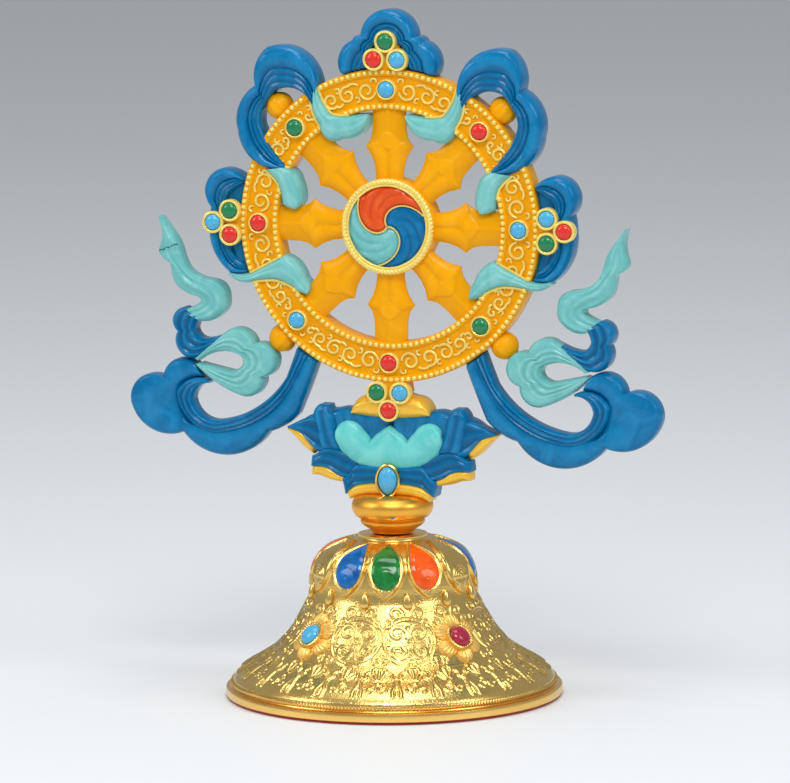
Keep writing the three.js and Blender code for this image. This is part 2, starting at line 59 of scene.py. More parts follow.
# Places shared with the solids
WHEEL_CENTRE_HEIGHT = 141.9
FACE = -1.6
BACK = 6.0
RIM_INNER = 34.9
RIM_OUTER = 47.1
STONE_CIRCLE = 41.0
HUB_RADIUS = 14.5
WHIRL_TURN = 9.0
KNOB_CIRCLE = 49.7
PAIR_OUT = 49.9
PAIR_ASIDE = 3.67
TIP_OUT = 55.3
PETAL_TURN = 13.5
QUARTER_TURN = 12.3
BELL_STONE_HEIGHT = 20.9
BELL_STONE_LEAN = 50.0
BELL_SEAT_RADIUS = 30.5


# Colours and nodes


def linear(code):
    """An sRGB hex colour as the linear colour that Blender's sockets and properties hold."""
    channels = [int(code[i : i + 2], 16) / 255 for i in (1, 3, 5)]
    return tuple(c / 12.92 if c <= 0.04045 else ((c + 0.055) / 1.055) ** 2.4 for c in channels)


def shade(colour, factor):
    """The colour made darker or lighter, for tones that vary at random."""
    return tuple(min(1.0, c * factor) for c in colour[:3])


def rgba(colour):
    return (*colour[:3], 1.0)


def add_node(tree, kind, inputs=None, **settings):
    """Adds a node; an input may be a value or the socket that feeds it."""
    made = tree.nodes.new(kind)
    for name, value in settings.items():
        setattr(made, name, value)
    for name, value in (inputs or {}).items():
        if isinstance(value, bpy.types.NodeSocket):
            tree.links.new(value, made.inputs[name])
        else:
            made.inputs[name].default_value = value
    return made


def new_material(name):
    material = bpy.data.materials.new(name)
    material.use_nodes = True
    tree = material.node_tree
    tree.nodes.clear()
    place = add_node(tree, "ShaderNodeTexCoord").outputs["Object"]
    return material, tree, place


def close_material(tree, shader):
    add_node(tree, "ShaderNodeOutputMaterial", {"Surface": shader.outputs[0]})


def per_metre(millimetres):
    """The texture scale whose features repeat at this spacing."""
    return 1000.0 / millimetres


def brushed_enamel(name, colour, painted_shade_colour, paler_tone_and_highlight, roughness, gloss):
    """Cold enamel paint laid on a casting by brush.

    It is glossy and a little uneven: darker with painted shade in the hollows and on the walls, and paler
    both in random drifts and with a painted highlight on the ridges.
    """
    material, tree, place = new_material(name)
    drift = add_node(
        tree,
        "ShaderNodeTexNoise",
        {"Vector": place, "Scale": per_metre(9), "Detail": 3.0, "Roughness": 0.6, "Distortion": 1.4},
    )
    # The crest attribute is high on the ridges and adds a painted highlight to the paint's random paler
    # drifts.
    crest = add_node(tree, "ShaderNodeAttribute", attribute_name="crest")
    drift_and_painted_highlight = add_node(
        tree,
        "ShaderNodeMath",
        {0: crest.outputs["Fac"], 1: 0.22, 2: drift.outputs["Fac"]},
        operation="MULTIPLY_ADD",
    )
    tone_and_highlight_share = add_node(
        tree,
        "ShaderNodeMapRange",
        {"Value": drift_and_painted_highlight.outputs[0], "From Min": 0.48, "From Max": 0.8, "To Min": 0.0, "To Max": 0.7},
    )
    coated = add_node(
        tree,
        "ShaderNodeMix",
        {"Factor": tone_and_highlight_share.outputs[0], "A": rgba(colour), "B": rgba(paler_tone_and_highlight)},
        data_type="RGBA",
    )
    # Painted shade: darker in the hollows of the relief and on the walls.
    hollow = add_node(tree, "ShaderNodeAttribute", attribute_name="hollow")
    painted = add_node(
        tree,
        "ShaderNodeMix",
        {"Factor": hollow.outputs["Fac"], "A": coated.outputs["Result"], "B": rgba(painted_shade_colour)},
        data_type="RGBA",
    )
    runs = add_node(
        tree,
        "ShaderNodeTexNoise",
        {"Vector": place, "Scale": per_metre(3.2), "Detail": 2.0, "Roughness": 0.5},
    )
    bump = add_node(
        tree, "ShaderNodeBump", {"Height": runs.outputs["Fac"], "Strength": 0.12, "Distance": 0.0006}
    )
    shader = add_node(
        tree,
        "ShaderNodeBsdfPrincipled",
        {
            "Base Color": painted.outputs["Result"],
            "Roughness": roughness,
            "Specular IOR Level": gloss,
            "Normal": bump.outputs["Normal"],
        },
    )
    close_material(tree, shader)
    return material


def gold_paint(name, colour):
    """Pale metallic gold paint touched on to raised wires and beads: bright, soft-edged highlights."""
    material, tree, place = new_material(name)
    grain = add_node(
        tree,
        "ShaderNodeTexNoise",
        {"Vector": place, "Scale": per_metre(0.7), "Detail": 2.0, "Roughness": 0.6},
    )
    tone = add_node(
        tree,
        "ShaderNodeMix",
        {"Factor": grain.outputs["Fac"], "A": rgba(shade(colour, 0.82)), "B": rgba(shade(colour, 1.15))},
        data_type="RGBA",
    )
    bump = add_node(
        tree, "ShaderNodeBump", {"Height": grain.outputs["Fac"], "Strength": 0.2, "Distance": 0.0002}
    )
    shader = add_node(
        tree,
        "ShaderNodeBsdfPrincipled",
        {
            "Base Color": tone.outputs["Result"],
            "Metallic": 0.3,
            "Roughness": 0.3,
            "Normal": bump.outputs["Normal"],
        },
    )
    close_material(tree, shader)
    return material


def gold_plate(name, colour, roughness, stipple_strength):
    """Gold plate over brass, mirror bright where it is turned.

    Where the ground is punched, small dots break the mirror into sparkle. The real punch marks are
    about 0.6 mm apart, and are drawn at 0.7 mm so that they show.
    """
    material, tree, place = new_material(name)
    ground = add_node(tree, "ShaderNodeAttribute", attribute_name="ground")
    dots = add_node(
        tree,
        "ShaderNodeTexVoronoi",
        {"Vector": place, "Scale": per_metre(0.7), "Randomness": 0.55},
        feature="F1",
    )
    domes = add_node(
        tree,
        "ShaderNodeMapRange",
        {"Value": dots.outputs["Distance"], "From Min": 0.1, "From Max": 0.55, "To Min": 1.0, "To Max": 0.0},
        interpolation_type="SMOOTHSTEP",
    )
    punched = add_node(
        tree,
        "ShaderNodeMath",
        {0: domes.outputs[0], 1: ground.outputs["Fac"]},
        operation="MULTIPLY",
    )
    stipple = add_node(
        tree,
        "ShaderNodeBump",
        {"Height": punched.outputs[0], "Strength": stipple_strength, "Distance": 0.00025},
    )
    cloud = add_node(
        tree, "ShaderNodeTexNoise", {"Vector": place, "Scale": per_metre(9), "Detail": 2.0, "Roughness": 0.5}
    )
    rough = add_node(
        tree,
        "ShaderNodeMapRange",
        {
            "Value": cloud.outputs["Fac"],
            "From Min": 0.3,
            "From Max": 0.7,
            "To Min": roughness * 0.8,
            "To Max": roughness * 1.3,
        },
    )
    shader = add_node(
        tree,
        "ShaderNodeBsdfPrincipled",
        {
            "Base Color": rgba(colour),
            "Metallic": 1.0,
            "Roughness": rough.outputs[0],
            "Normal": stipple.outputs["Normal"],
        },
    )
    close_material(tree, shader)
    return material


def fired_enamel(name, colour, deep):
    """Glassy enamel filled into a cell: wet gloss over slightly cloudy colour."""
    material, tree, place = new_material(name)
    cloud = add_node(
        tree,
        "ShaderNodeTexNoise",
        {"Vector": place, "Scale": per_metre(3.5), "Detail": 4.0, "Roughness": 0.6},
    )
    share = add_node(
        tree,
        "ShaderNodeMapRange",
        {"Value": cloud.outputs["Fac"], "From Min": 0.35, "From Max": 0.7, "To Min": 0.0, "To Max": 0.8},
    )
    tone = add_node(
        tree,
        "ShaderNodeMix",
        {"Factor": share.outputs[0], "A": rgba(colour), "B": rgba(deep)},
        data_type="RGBA",
    )
    shader = add_node(
        tree,
        "ShaderNodeBsdfPrincipled",
        {
            "Base Color": tone.outputs["Result"],
            "Roughness": 0.12,
        },
    )
    close_material(tree, shader)
    return material


def speckled_stone(name, colour, speck, spacing, speck_share):
    """A polished cabochon of dyed stone: glassy surface, with small dark specks within."""
    material, tree, place = new_material(name)
    warp = add_node(
        tree, "ShaderNodeTexNoise", {"Vector": place, "Scale": per_metre(spacing * 2.4), "Detail": 5.0}
    )
    specks = add_node(
        tree,
        "ShaderNodeTexVoronoi",
        {"Vector": place, "Scale": per_metre(spacing), "Randomness": 1.0},
        feature="F1",
    )
    dots = add_node(
        tree,
        "ShaderNodeMapRange",
        {
            "Value": specks.outputs["Distance"],
            "From Min": 0.14,
            "From Max": 0.34,
            "To Min": 1.0,
            "To Max": 0.0,
        },
    )
    patches = add_node(
        tree,
        "ShaderNodeMapRange",
        {"Value": warp.outputs["Fac"], "From Min": 0.45, "From Max": 0.6, "To Min": 0.0, "To Max": 1.0},
    )
    spotted = add_node(
        tree, "ShaderNodeMath", {0: dots.outputs[0], 1: patches.outputs[0]}, operation="MULTIPLY"
    )
    share = add_node(tree, "ShaderNodeMath", {0: spotted.outputs[0], 1: speck_share}, operation="MULTIPLY")
    cloudy = add_node(
        tree,
        "ShaderNodeMix",
        {"Factor": warp.outputs["Fac"], "A": rgba(shade(colour, 0.72)), "B": rgba(shade(colour, 1.25))},
        data_type="RGBA",
    )
    tone = add_node(
        tree,
        "ShaderNodeMix",
        {"Factor": share.outputs[0], "A": cloudy.outputs["Result"], "B": rgba(speck)},
        data_type="RGBA",
    )
    shader = add_node(
        tree, "ShaderNodeBsdfPrincipled", {"Base Color": tone.outputs["Result"], "Roughness": 0.1}
    )
    close_material(tree, shader)
    return material


def wool_felt(name, colour):
    """Thin pressed felt: no gloss, short fibres that catch a little light at the edge."""
    material, tree, place = new_material(name)
    fibre = add_node(
        tree,
        "ShaderNodeTexNoise",
        {"Vector": place, "Scale": per_metre(0.5), "Detail": 6.0, "Roughness": 0.8},
    )
    tone = add_node(
        tree,
        "ShaderNodeMix",
        {"Factor": fibre.outputs["Fac"], "A": rgba(shade(colour, 0.7)), "B": rgba(shade(colour, 1.4))},
        data_type="RGBA",
    )
    bump = add_node(
        tree, "ShaderNodeBump", {"Height": fibre.outputs["Fac"], "Strength": 0.6, "Distance": 0.0003}
    )
    shader = add_node(
        tree,
        "ShaderNodeBsdfPrincipled",
        {
            "Base Color": tone.outputs["Result"],
            "Roughness": 0.95,
            "Sheen Weight": 0.3,
            "Normal": bump.outputs["Normal"],
        },
    )
    close_material(tree, shader)
    return material


def painted(channel, painted_shade_colour, paler_tone_and_highlight, roughness, gloss):
    return lambda name, colours: brushed_enamel(
        name, getattr(colours, channel), linear(painted_shade_colour), linear(paler_tone_and_highlight), roughness, gloss
    )


def cell_filling(channel, deep):
    return lambda name, colours: fired_enamel(name, getattr(colours, channel), linear(deep))


def set_stone(channel, speck, spacing, speck_share):
    return lambda name, colours: speckled_stone(
        name, getattr(colours, channel), linear(speck), spacing, speck_share
    )


FINISHES = {
    # After each paint's channel come its painted shade colour for hollows and walls, then its paler tone,
    # which also carries the painted highlight on the ridges.
    "yellow": ("yellow_cold_enamel", painted("yellow", "#D58C04", "#FFB71A", 0.28, 0.14)),
    "blue": ("blue_cold_enamel", painted("blue", "#00527E", "#1C88BC", 0.13, 0.24)),
    "teal": ("turquoise_cold_enamel", painted("teal", "#58A4A2", "#92D2CE", 0.18, 0.3)),
    "lotus_teal": ("lotus_turquoise_cold_enamel", painted("lotus_teal", "#3C9C98", "#86DAD2", 0.2, 0.3)),
    "orange": ("orange_cold_enamel", painted("orange", "#C83C0C", "#FA7834", 0.2, 0.3)),
    "lip": ("gold_lip_paint", lambda name, c: gold_paint(name, c.lip_gold)),
    "wire": ("pale_gold_wire_paint", lambda name, c: gold_paint(name, c.wire_gold)),
    "turned": ("gold_plate_turned", lambda name, c: gold_plate(name, c.turned_gold, 0.24, 0.0)),
    "satin": ("satin_gold_plate", lambda name, c: gold_plate(name, c.satin_gold, 0.36, 0.0)),
    "chased": ("gold_plate_chased", lambda name, c: gold_plate(name, c.chased_gold, 0.24, 0.16)),
    "matt": ("gold_plate_matt", lambda name, c: gold_plate(name, c.turned_gold, 0.42, 0.0)),
    "bell_blue": ("blue_fired_enamel", cell_filling("bell_blue", "#033E78")),
    "bell_green": ("green_fired_enamel", cell_filling("bell_green", "#073C16")),
    "bell_orange": ("orange_fired_enamel", cell_filling("bell_orange", "#DC4402")),
    "turquoise": ("turquoise_cabochon", set_stone("turquoise", "#123C50", 0.62, 0.9)),
    "coral": ("coral_red_cabochon", set_stone("coral", "#8C0F12", 0.9, 0.3)),
    "green": ("green_cabochon", set_stone("green", "#062C1A", 0.8, 0.5)),
    "crimson": ("crimson_cabochon", set_stone("crimson", "#4A0A18", 0.7, 0.8)),
    "felt": ("red_wool_felt", lambda name, c: wool_felt(name, c.felt)),
    "crack": (
        "crack_shadow_in_enamel",
        lambda name, c: fired_enamel(name, linear("#2C4748"), linear("#172A2C")),
    ),
}


class Finishes:
    """Gives each finish by its key, and makes it the first time it is asked for."""

    def __init__(self, colours):
        self.colours = colours

    def __getitem__(self, key):
        name, make = FINISHES[key]
        return bpy.data.materials.get(name) or make(name, self.colours)


# Meshes


CASTING = ("wheel_and_lotus_casting",)
CASTING_SLOT = "enamelled_casting"


class Clay:
    """Gathers several closed shapes into one mesh, with a material and attributes for each."""

    def __init__(self):
        self.vertices = []
        self.faces = []
        self.slots = []
        self.values = {}
        self.count = 0

    def add(self, vertices, faces, slot=0, **values):
        vertices = np.asarray(vertices, float)
        start = self.count
        self.vertices.append(vertices)
        self.faces.extend([tuple(i + start for i in f) for f in faces])
        self.slots.extend([slot] * len(faces))
        for key in set(self.values) | set(values):
            column = self.values.setdefault(key, [np.zeros(start)] if start else [])
            column.append(np.broadcast_to(values.get(key, 0.0), (len(vertices),)))
        self.count += len(vertices)

    def piece(self, name, materials, slot_name=CASTING_SLOT, nodes=CASTING, sharp=38):
        """Makes the mesh object, smooth but for edges over the sharp angle, and fixes it to the frame."""
        mesh = bpy.data.meshes.new(name)
        mesh.from_pydata((np.concatenate(self.vertices) * MM).tolist(), [], self.faces)
        for material in materials:
            mesh.materials.append(material)
        mesh.polygons.foreach_set("material_index", np.array(self.slots, np.int32))
        for key, column in self.values.items():
            layer = mesh.attributes.new(key, "FLOAT", "POINT")
            layer.data.foreach_set("value", np.concatenate(column).astype(np.float32))
        work = bmesh.new()
        work.from_mesh(mesh)
        bmesh.ops.recalc_face_normals(work, faces=work.faces)
        work.to_mesh(mesh)
        work.free()
        mesh.shade_smooth()
        mesh.set_sharp_from_angle(angle=math.radians(sharp))
        piece = bpy.data.objects.new(name, mesh)
        bpy.context.scene.collection.objects.link(piece)
        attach(piece, "root")
        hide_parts(*nodes)


def grid_faces(rows, columns, wrap_rows=False, wrap_columns=False):
    faces = []
    for i in range(rows if wrap_rows else rows - 1):
        below = ((i + 1) % rows) * columns
        here = i * columns
        for j in range(columns if wrap_columns else columns - 1):
            k = (j + 1) % columns
            faces.append((here + j, here + k, below + k, below + j))
    return faces


def skin(loops):
    """Faces over closed loops of equal length, capped at both ends. loops is (rows, columns, 3)."""
    rows, columns = loops.shape[:2]
    faces = grid_faces(rows, columns, wrap_columns=True)
    faces.append(tuple(range(columns))[::-1])
    last = (rows - 1) * columns
    faces.append(tuple(range(last, last + columns)))
    return loops.reshape(-1, 3), faces


def panel_point(x, z, proud):
    """Panel coordinates as a point of the part, with the relief height counted forward."""
    x, z, proud = np.broadcast_arrays(x, z, proud)
    return np.stack([x, FACE - proud, z + WHEEL_CENTRE_HEIGHT], axis=-1)


def mirrored(points):
    return points * np.array([-1.0, 1.0, 1.0])


def arc_sweep(a, b):
    bow = abs(a[2]) if len(a) > 2 else 0.0
    return 4 * math.atan(2 * bow / math.dist(a[:2], b[:2]))


def arc_length(a, b):
    sweep = arc_sweep(a, b)
    chord = math.dist(a[:2], b[:2])
    return chord if sweep < 0.01 else chord * sweep / (2 * math.sin(sweep / 2))


def arc_points(a, b, steps):
    """Points from a to b, without b. The third number of a is how far the arc bows to the left."""
    start, end = np.array(a[:2], float), np.array(b[:2], float)
    chord = np.linalg.norm(end - start)
    along = (end - start) / chord
    left = np.array([-along[1], along[0]])
    t = np.arange(steps) / steps - 0.5
    sweep = arc_sweep(a, b)
    if sweep < 0.01:
        return start + (t[:, None] + 0.5) * (end - start)
    radius = chord / 2 / math.sin(sweep / 2)
    reach = radius * np.sin(t * sweep)
    rise = math.copysign(1, a[2]) * (radius * np.cos(t * sweep) - radius * math.cos(sweep / 2))
    return (start + end) / 2 + along * reach[:, None] + left * rise[:, None]


def edge_points(nodes, counts):
    points = [arc_points(a, b, n) for a, b, n in zip(nodes, nodes[1:], counts)]
    return np.concatenate([*points, [np.array(nodes[-1][:2], float)]])


def blend(x, low, high):
    """Runs smoothly from 0 at low to 1 at high."""
    t = np.clip((x - low) / (high - low), 0, 1)
    return t * t * (3 - 2 * t)


def paired_edges(inner, outer, pitch):
    counts = [
        max(2, round(max(arc_length(a, b), arc_length(c, d)) / pitch))
        for a, b, c, d in zip(inner, inner[1:], outer, outer[1:])
    ]
    return edge_points(inner, counts), edge_points(outer, counts)


def softened(line, passes):
    """The line with its corners rounded, by averaging each point with its neighbours."""
    for _ in range(passes):
        line = np.concatenate([line[:1], (line[:-2] + 2 * line[1:-1] + line[2:]) / 4, line[-1:]])
    return line


def relief_band(
    inner,
    outer,
    relief,
    lift=0.0,
    back=BACK,
    across=30,
    pitch=0.7,
    edge=1.5,
    drop=1.4,
    under_rim=0.0,
    round_ends=False,
    soften=0,
):
    """A cast band between two arc edges, with rounded edges and a worked face.

    relief(t, along, width) gives the height of the face over the plain one, in millimetres, where t
    runs from the inner edge to the outer one. under_rim is how far the band dips where it passes
    under the rim, and soften how often its outline is smoothed. Also returns a painted shade for each
    point, from how deep it lies in a hollow and a fixed amount on the walls, and how high it lies on a
    ridge, which the paint turns into a painted highlight.
    """
    inside, outside = (softened(line, soften) for line in paired_edges(inner, outer, pitch))
    rows = len(inside)
    k = np.linspace(0, 1, across)
    t = 0.35 * (1 - np.cos(np.pi * k)) / 2 + 0.65 * k
    width = np.linalg.norm(outside - inside, axis=1)[:, None]
    steps = np.linalg.norm(np.diff((inside + outside) / 2, axis=0), axis=1)
    along = np.concatenate([[0], np.cumsum(steps)])[:, None]
    gap = np.minimum(t, 1 - t)[None, :] * width
    reach = np.clip(gap / np.minimum(edge, 0.4 * width), 0, 1)
    if round_ends:
        reach = np.minimum(reach, np.clip((np.minimum(along, along[-1] - along) + 0.05) / edge, 0, 1))
    rounding = -drop * (1 - np.sqrt(1 - (1 - reach) ** 2))
    figure = relief(t[None, :], along, width) * np.clip(width / 6, 0.15, 1)
    proud = lift + rounding + figure * blend(reach, 0, 0.8)
    flat = inside[:, None, :] + (outside - inside)[:, None, :] * t[None, :, None]
    proud = proud - under_rim * (1 - blend(np.hypot(flat[..., 0], flat[..., 1]), 46.6, 48.2))
    front = panel_point(flat[..., 0], flat[..., 1], proud)
    wall_shares = [(1, 0.55), (1, 0.9), (0.97, 1.0), (0.5, 1.0), (0.03, 1.0), (0, 0.9), (0, 0.55)]
    rear = []
    for share, depth in wall_shares:
        start = FACE - lift + drop
        y = start + (back - start) * depth
        spot = inside + (outside - inside) * share
        rear.append(np.stack([spot[:, 0], np.full(rows, y), spot[:, 1] + WHEEL_CENTRE_HEIGHT], axis=-1))
    loops = np.concatenate([front, np.stack(rear, axis=1)], axis=1)
    smooth = np.maximum.accumulate(figure, axis=1)
    crest = np.minimum(smooth, np.maximum.accumulate(figure[:, ::-1], axis=1)[:, ::-1])
    # Painted shade: darker below the ridges' envelope, and a fixed painted shade on the walls.
    hollow = np.clip((crest - figure) / 0.75, 0, 1) * blend(reach, 0.1, 0.9)
    hollow = np.concatenate([hollow, np.full((rows, len(wall_shares)), 0.2)], axis=1)
    # Painted highlight: the crest attribute is highest on the tops of the ridges.
    low, high = figure.min(axis=1, keepdims=True), figure.max(axis=1, keepdims=True)
    ridge = np.clip((figure - low) / (high - low + 0.05), 0, 1) ** 3
    ridge = np.concatenate([ridge, np.zeros((rows, len(wall_shares)))], axis=1)
    vertices, faces = skin(loops)
    return vertices, faces, {"hollow": hollow.reshape(-1), "crest": ridge.reshape(-1)}


def lathe(profile, segments, wave=None):
    """A turned shape round +Z. profile is [radius, height] and closes on itself or ends on the axis.

    wave(angle, profile index) may add to the radius and the height.
    """
    profile = np.asarray(profile, float)
    angle = np.linspace(0, 2 * np.pi, segments, endpoint=False)
    radius = np.repeat(profile[None, :, 0], segments, axis=0)
    height = np.repeat(profile[None, :, 1], segments, axis=0)
    if wave is not None:
        more_radius, more_height = wave(angle[:, None], np.arange(len(profile))[None, :])
        radius = radius + more_radius
        height = height + more_height
    x, y = radius * np.cos(angle)[:, None], radius * np.sin(angle)[:, None]
    return np.stack([x, y, height], axis=-1)


def turned(profile, segments, wave=None):
    """A closed turned shape: one ring of vertices for each profile point, and a fan on the axis."""
    rings = lathe(profile, segments, wave)
    points = [tuple(p) for p in profile]
    on_axis = [i for i, (r, _) in enumerate(points) if r < 1e-6]
    if not on_axis:
        return rings.reshape(-1, 3), grid_faces(segments, len(points), True, True)
    body = rings[:, 1:-1]
    count = body.shape[1]
    vertices = np.concatenate([body.reshape(-1, 3), [rings[0, 0]], [rings[0, -1]]])
    faces = grid_faces(segments, count, wrap_rows=True)
    first, last = segments * count, segments * count + 1
    for i in range(segments):
        j = (i + 1) % segments
        faces.append((first, j * count, i * count))
        faces.append((last, i * count + count - 1, j * count + count - 1))
    return vertices, faces


def onto_panel(points, x=0.0, z=0.0, proud=0.0):
    """Turns a shape that stands on +Z so that it stands on the panel's face."""
    px, py, pz = points[..., 0], points[..., 1], points[..., 2]
    return np.stack([px + x, FACE - proud - pz, py + z + WHEEL_CENTRE_HEIGHT], axis=-1)


def tube(path, radius, sides=8, closed=False):
    """A round wire along a path; radius may be one number for each point."""
    path = np.asarray(path, float)
    count = len(path)
    if closed:
        tangent = np.roll(path, -1, axis=0) - np.roll(path, 1, axis=0)
    else:
        tangent = np.gradient(path, axis=0)
    tangent /= np.linalg.norm(tangent, axis=1)[:, None]
    side = np.cross(tangent, [0.0, 1.0, 0.0])
    weak = np.linalg.norm(side, axis=1) < 1e-6
    side[weak] = np.cross(tangent[weak], [0.0, 0.0, 1.0])
    side /= np.linalg.norm(side, axis=1)[:, None]
    up = np.cross(side, tangent)
    turn = np.linspace(0, 2 * np.pi, sides, endpoint=False)
    reach = np.broadcast_to(radius, (count,))[:, None, None]
    rings = path[:, None, :] + reach * (
        np.cos(turn)[None, :, None] * side[:, None, :] + np.sin(turn)[None, :, None] * up[:, None, :]
    )
    if closed:
        return rings.reshape(-1, 3), grid_faces(count, sides, True, True)
    return skin(rings)


def ball(subdivisions=2):
    """A unit bead as vertices and faces."""
    work = bmesh.new()
    bmesh.ops.create_icosphere(work, subdivisions=subdivisions, radius=1.0)
    vertices = np.array([v.co[:] for v in work.verts])
    faces = [tuple(v.index for v in f.verts) for f in work.faces]
    work.free()
    return vertices, faces


def curl(centre, radius, start, sweep, shrink, points=30):
    """A spiral line in the plane, from its outside end inwards."""
    t = np.linspace(0, 1, points)
    angle = np.radians(start + sweep * t)
    reach = radius * (1 - (1 - shrink) * t)
    return np.stack([centre[0] + reach * np.cos(angle), centre[1] + reach * np.sin(angle)], axis=-1)


def bezier(a, b, c, points=12):
    """A short bent stem through three guide points."""
    t = np.linspace(0, 1, points)[:, None]
    a, b, c = (np.array(p, float) for p in (a, b, c))
    return (1 - t) ** 2 * a + 2 * t * (1 - t) * b + t**2 * c


# Rim


def rim_profile():
    inner, outer = RIM_INNER, RIM_OUTER
    front = [
        (inner, -0.9), (inner + 0.12, -0.3), (inner + 0.4, 0.0), (inner + 1.9, 0.02), (inner + 2.1, -0.1),
        (inner + 2.3, -0.5), (inner + 2.5, -0.55), (41.0, -0.5), (outer - 2.5, -0.55), (outer - 2.3, -0.5),
        (outer - 2.1, -0.1), (outer - 1.9, 0.02), (outer - 0.4, 0.0), (outer - 0.12, -0.3), (outer, -0.9),
    ]
    depth = FACE - BACK
    rear = [
        (outer, depth + 0.8), (outer - 0.2, depth + 0.2), (outer - 0.8, depth), (outer - 3.2, depth),
        (outer - 3.6, depth + 0.5), (inner + 3.6, depth + 0.5), (inner + 3.2, depth), (inner + 0.8, depth),
        (inner + 0.2, depth + 0.2), (inner, depth + 0.8),
    ]
    return front + rear


def rim_spot(base, u, v):
    """A place on the rim: u along it from the stone at the angle base, v outward from the stones' circle."""
    angle = base + np.asarray(u) / STONE_CIRCLE
    return (STONE_CIRCLE + v) * np.cos(angle), (STONE_CIRCLE + v) * np.sin(angle)


def scroll_lines():
    """The running scroll from one of the four main stones to the next diagonal one, as (u, v) lines."""

    def stemmed(stem, spiral):
        return np.concatenate([bezier(*stem, 8)[:-1], spiral])

    lines = [
        curl((6.5, -0.1), 2.85, 190, 445, 0.3),
        stemmed(((8.8, 2.0), (10.2, 3.2), (11.8, 2.6)), curl((12.7, -0.1), 2.65, 110, -430, 0.3)),
        stemmed(((14.7, -2.1), (16.0, -3.1), (17.2, -2.3)), curl((18.2, 0.1), 2.5, 245, 430, 0.3)),
        stemmed(((20.1, 1.9), (21.2, 2.8), (22.2, 2.1)), curl((23.2, 0.0), 2.2, 115, -420, 0.3)),
        stemmed(((24.8, -1.5), (25.8, -2.4), (26.7, -1.4)), curl((27.0, -0.2), 1.2, 240, 330, 0.35)),
    ]
    hooks = [
        curl((4.2, 2.6), 1.0, 210, -250, 0.45, 16),
        curl((9.9, -2.4), 0.95, 60, 250, 0.45, 16),
        curl((15.4, 2.3), 0.95, 300, -250, 0.45, 16),
        curl((21.0, -2.4), 0.9, 60, 250, 0.45, 16),
        curl((25.4, 2.2), 0.85, 300, -250, 0.45, 16),
        curl((28.6, 2.2), 0.75, 240, -240, 0.45, 16),
    ]
    return [(line, 0.4) for line in lines] + [(hook, 0.32) for hook in hooks]


def over_rim():
    """Outlines of the tails and clouds that pass in front of the rim, as loops of x and z."""
    loops = []
    for shape in (UPPER_TAIL, MIDDLE_TAIL, LOWER_TAIL, SHOULDER_CLOUD):
        inside, outside = paired_edges(shape["inner"], shape["outer"], 0.8)
        loop = np.concatenate([inside, outside[::-1]])
        loops += [loop, loop * np.array([-1.0, 1.0])]
    return loops


def covered(x, z, loops):
    """Whether each point lies within one of the loops, by counting the edges to its right."""
    x, z = np.atleast_1d(x), np.atleast_1d(z)
    found = np.zeros(len(x), bool)
    for loop in loops:
        ahead = np.roll(loop, -1, axis=0)
        spans = (loop[:, 1][None] > z[:, None]) != (ahead[:, 1][None] > z[:, None])
        rise = np.where(ahead[:, 1] == loop[:, 1], 1e-9, ahead[:, 1] - loop[:, 1])
        crossing = loop[:, 0] + (z[:, None] - loop[:, 1]) * (ahead[:, 0] - loop[:, 0]) / rise
        found |= (spans & (x[:, None] < crossing)).sum(axis=1) % 2 == 1
    return found


def open_runs(hidden):
    """The first and last place of each run of at least three points that aren't hidden."""
    marks = np.flatnonzero(np.diff(np.concatenate([[1], hidden.astype(int), [1]])))
    return [(a, b) for a, b in zip(marks[::2], marks[1::2]) if b - a >= 3]


def build_rim(sizes, materials):
    clay = Clay()
    rings = lathe(rim_profile(), 360)
    columns = rings.shape[1]
    proud = np.array([h for _, h in rim_profile()])
    # Painted shade: darker in the sunk channels of the rim's face.
    hollow = np.tile(blend(-proud, 0.25, 0.5) * (proud > -1) * 0.12, 360)
    clay.add(onto_panel(rings.reshape(-1, 3)), grid_faces(360, columns, True, True), hollow=hollow)
    clay.piece("wheel_rim", [materials["yellow"]])

    loops = over_rim()
    wires = Clay()
    for quarter in range(4):
        for hand in (1, -1):
            base = math.radians(90 * quarter)
            for line, radius in scroll_lines():
                x, z = rim_spot(base, hand * line[:, 0], line[:, 1])
                taper = radius * (0.55 + 0.45 * np.sin(np.linspace(0.15, 0.98, len(line)) * np.pi) ** 0.5)
                path = panel_point(x, z, -0.2)
                for first, last in open_runs(covered(x, z, loops)):
                    wires.add(*tube(path[first:last], taper[first:last], 7))
    wires.piece("rim_scroll_wires", [materials["wire"]])

    beads = Clay()
    unit, faces = ball(2)
    size = sizes.bead_size / MM
    for radius in (RIM_INNER + 1.05, RIM_OUTER - 1.0):
        count = round(2 * math.pi * radius / (sizes.bead_pitch / MM))
        around = 2 * math.pi * np.arange(count) / count
        x, z = radius * np.cos(around), radius * np.sin(around)
        shown = ~covered(x, z, loops)
        for centre in panel_point(x[shown], z[shown], 0.1):
            beads.add(unit * np.array([size * 0.5, size * 0.42, size * 0.5]) + centre, faces)
    beads.piece("rim_beads", [materials["wire"]])


# Spokes


SPOKE_HALF_WIDTHS = [
    (13.4, 4.3), (16.0, 4.35), (18.5, 4.8), (21.0, 5.7), (22.8, 6.8), (23.7, 7.5),
    (24.1, 7.3), (24.9, 6.55), (26.3, 5.75), (28.5, 5.3), (32.0, 5.15), (36.4, 5.2),
]


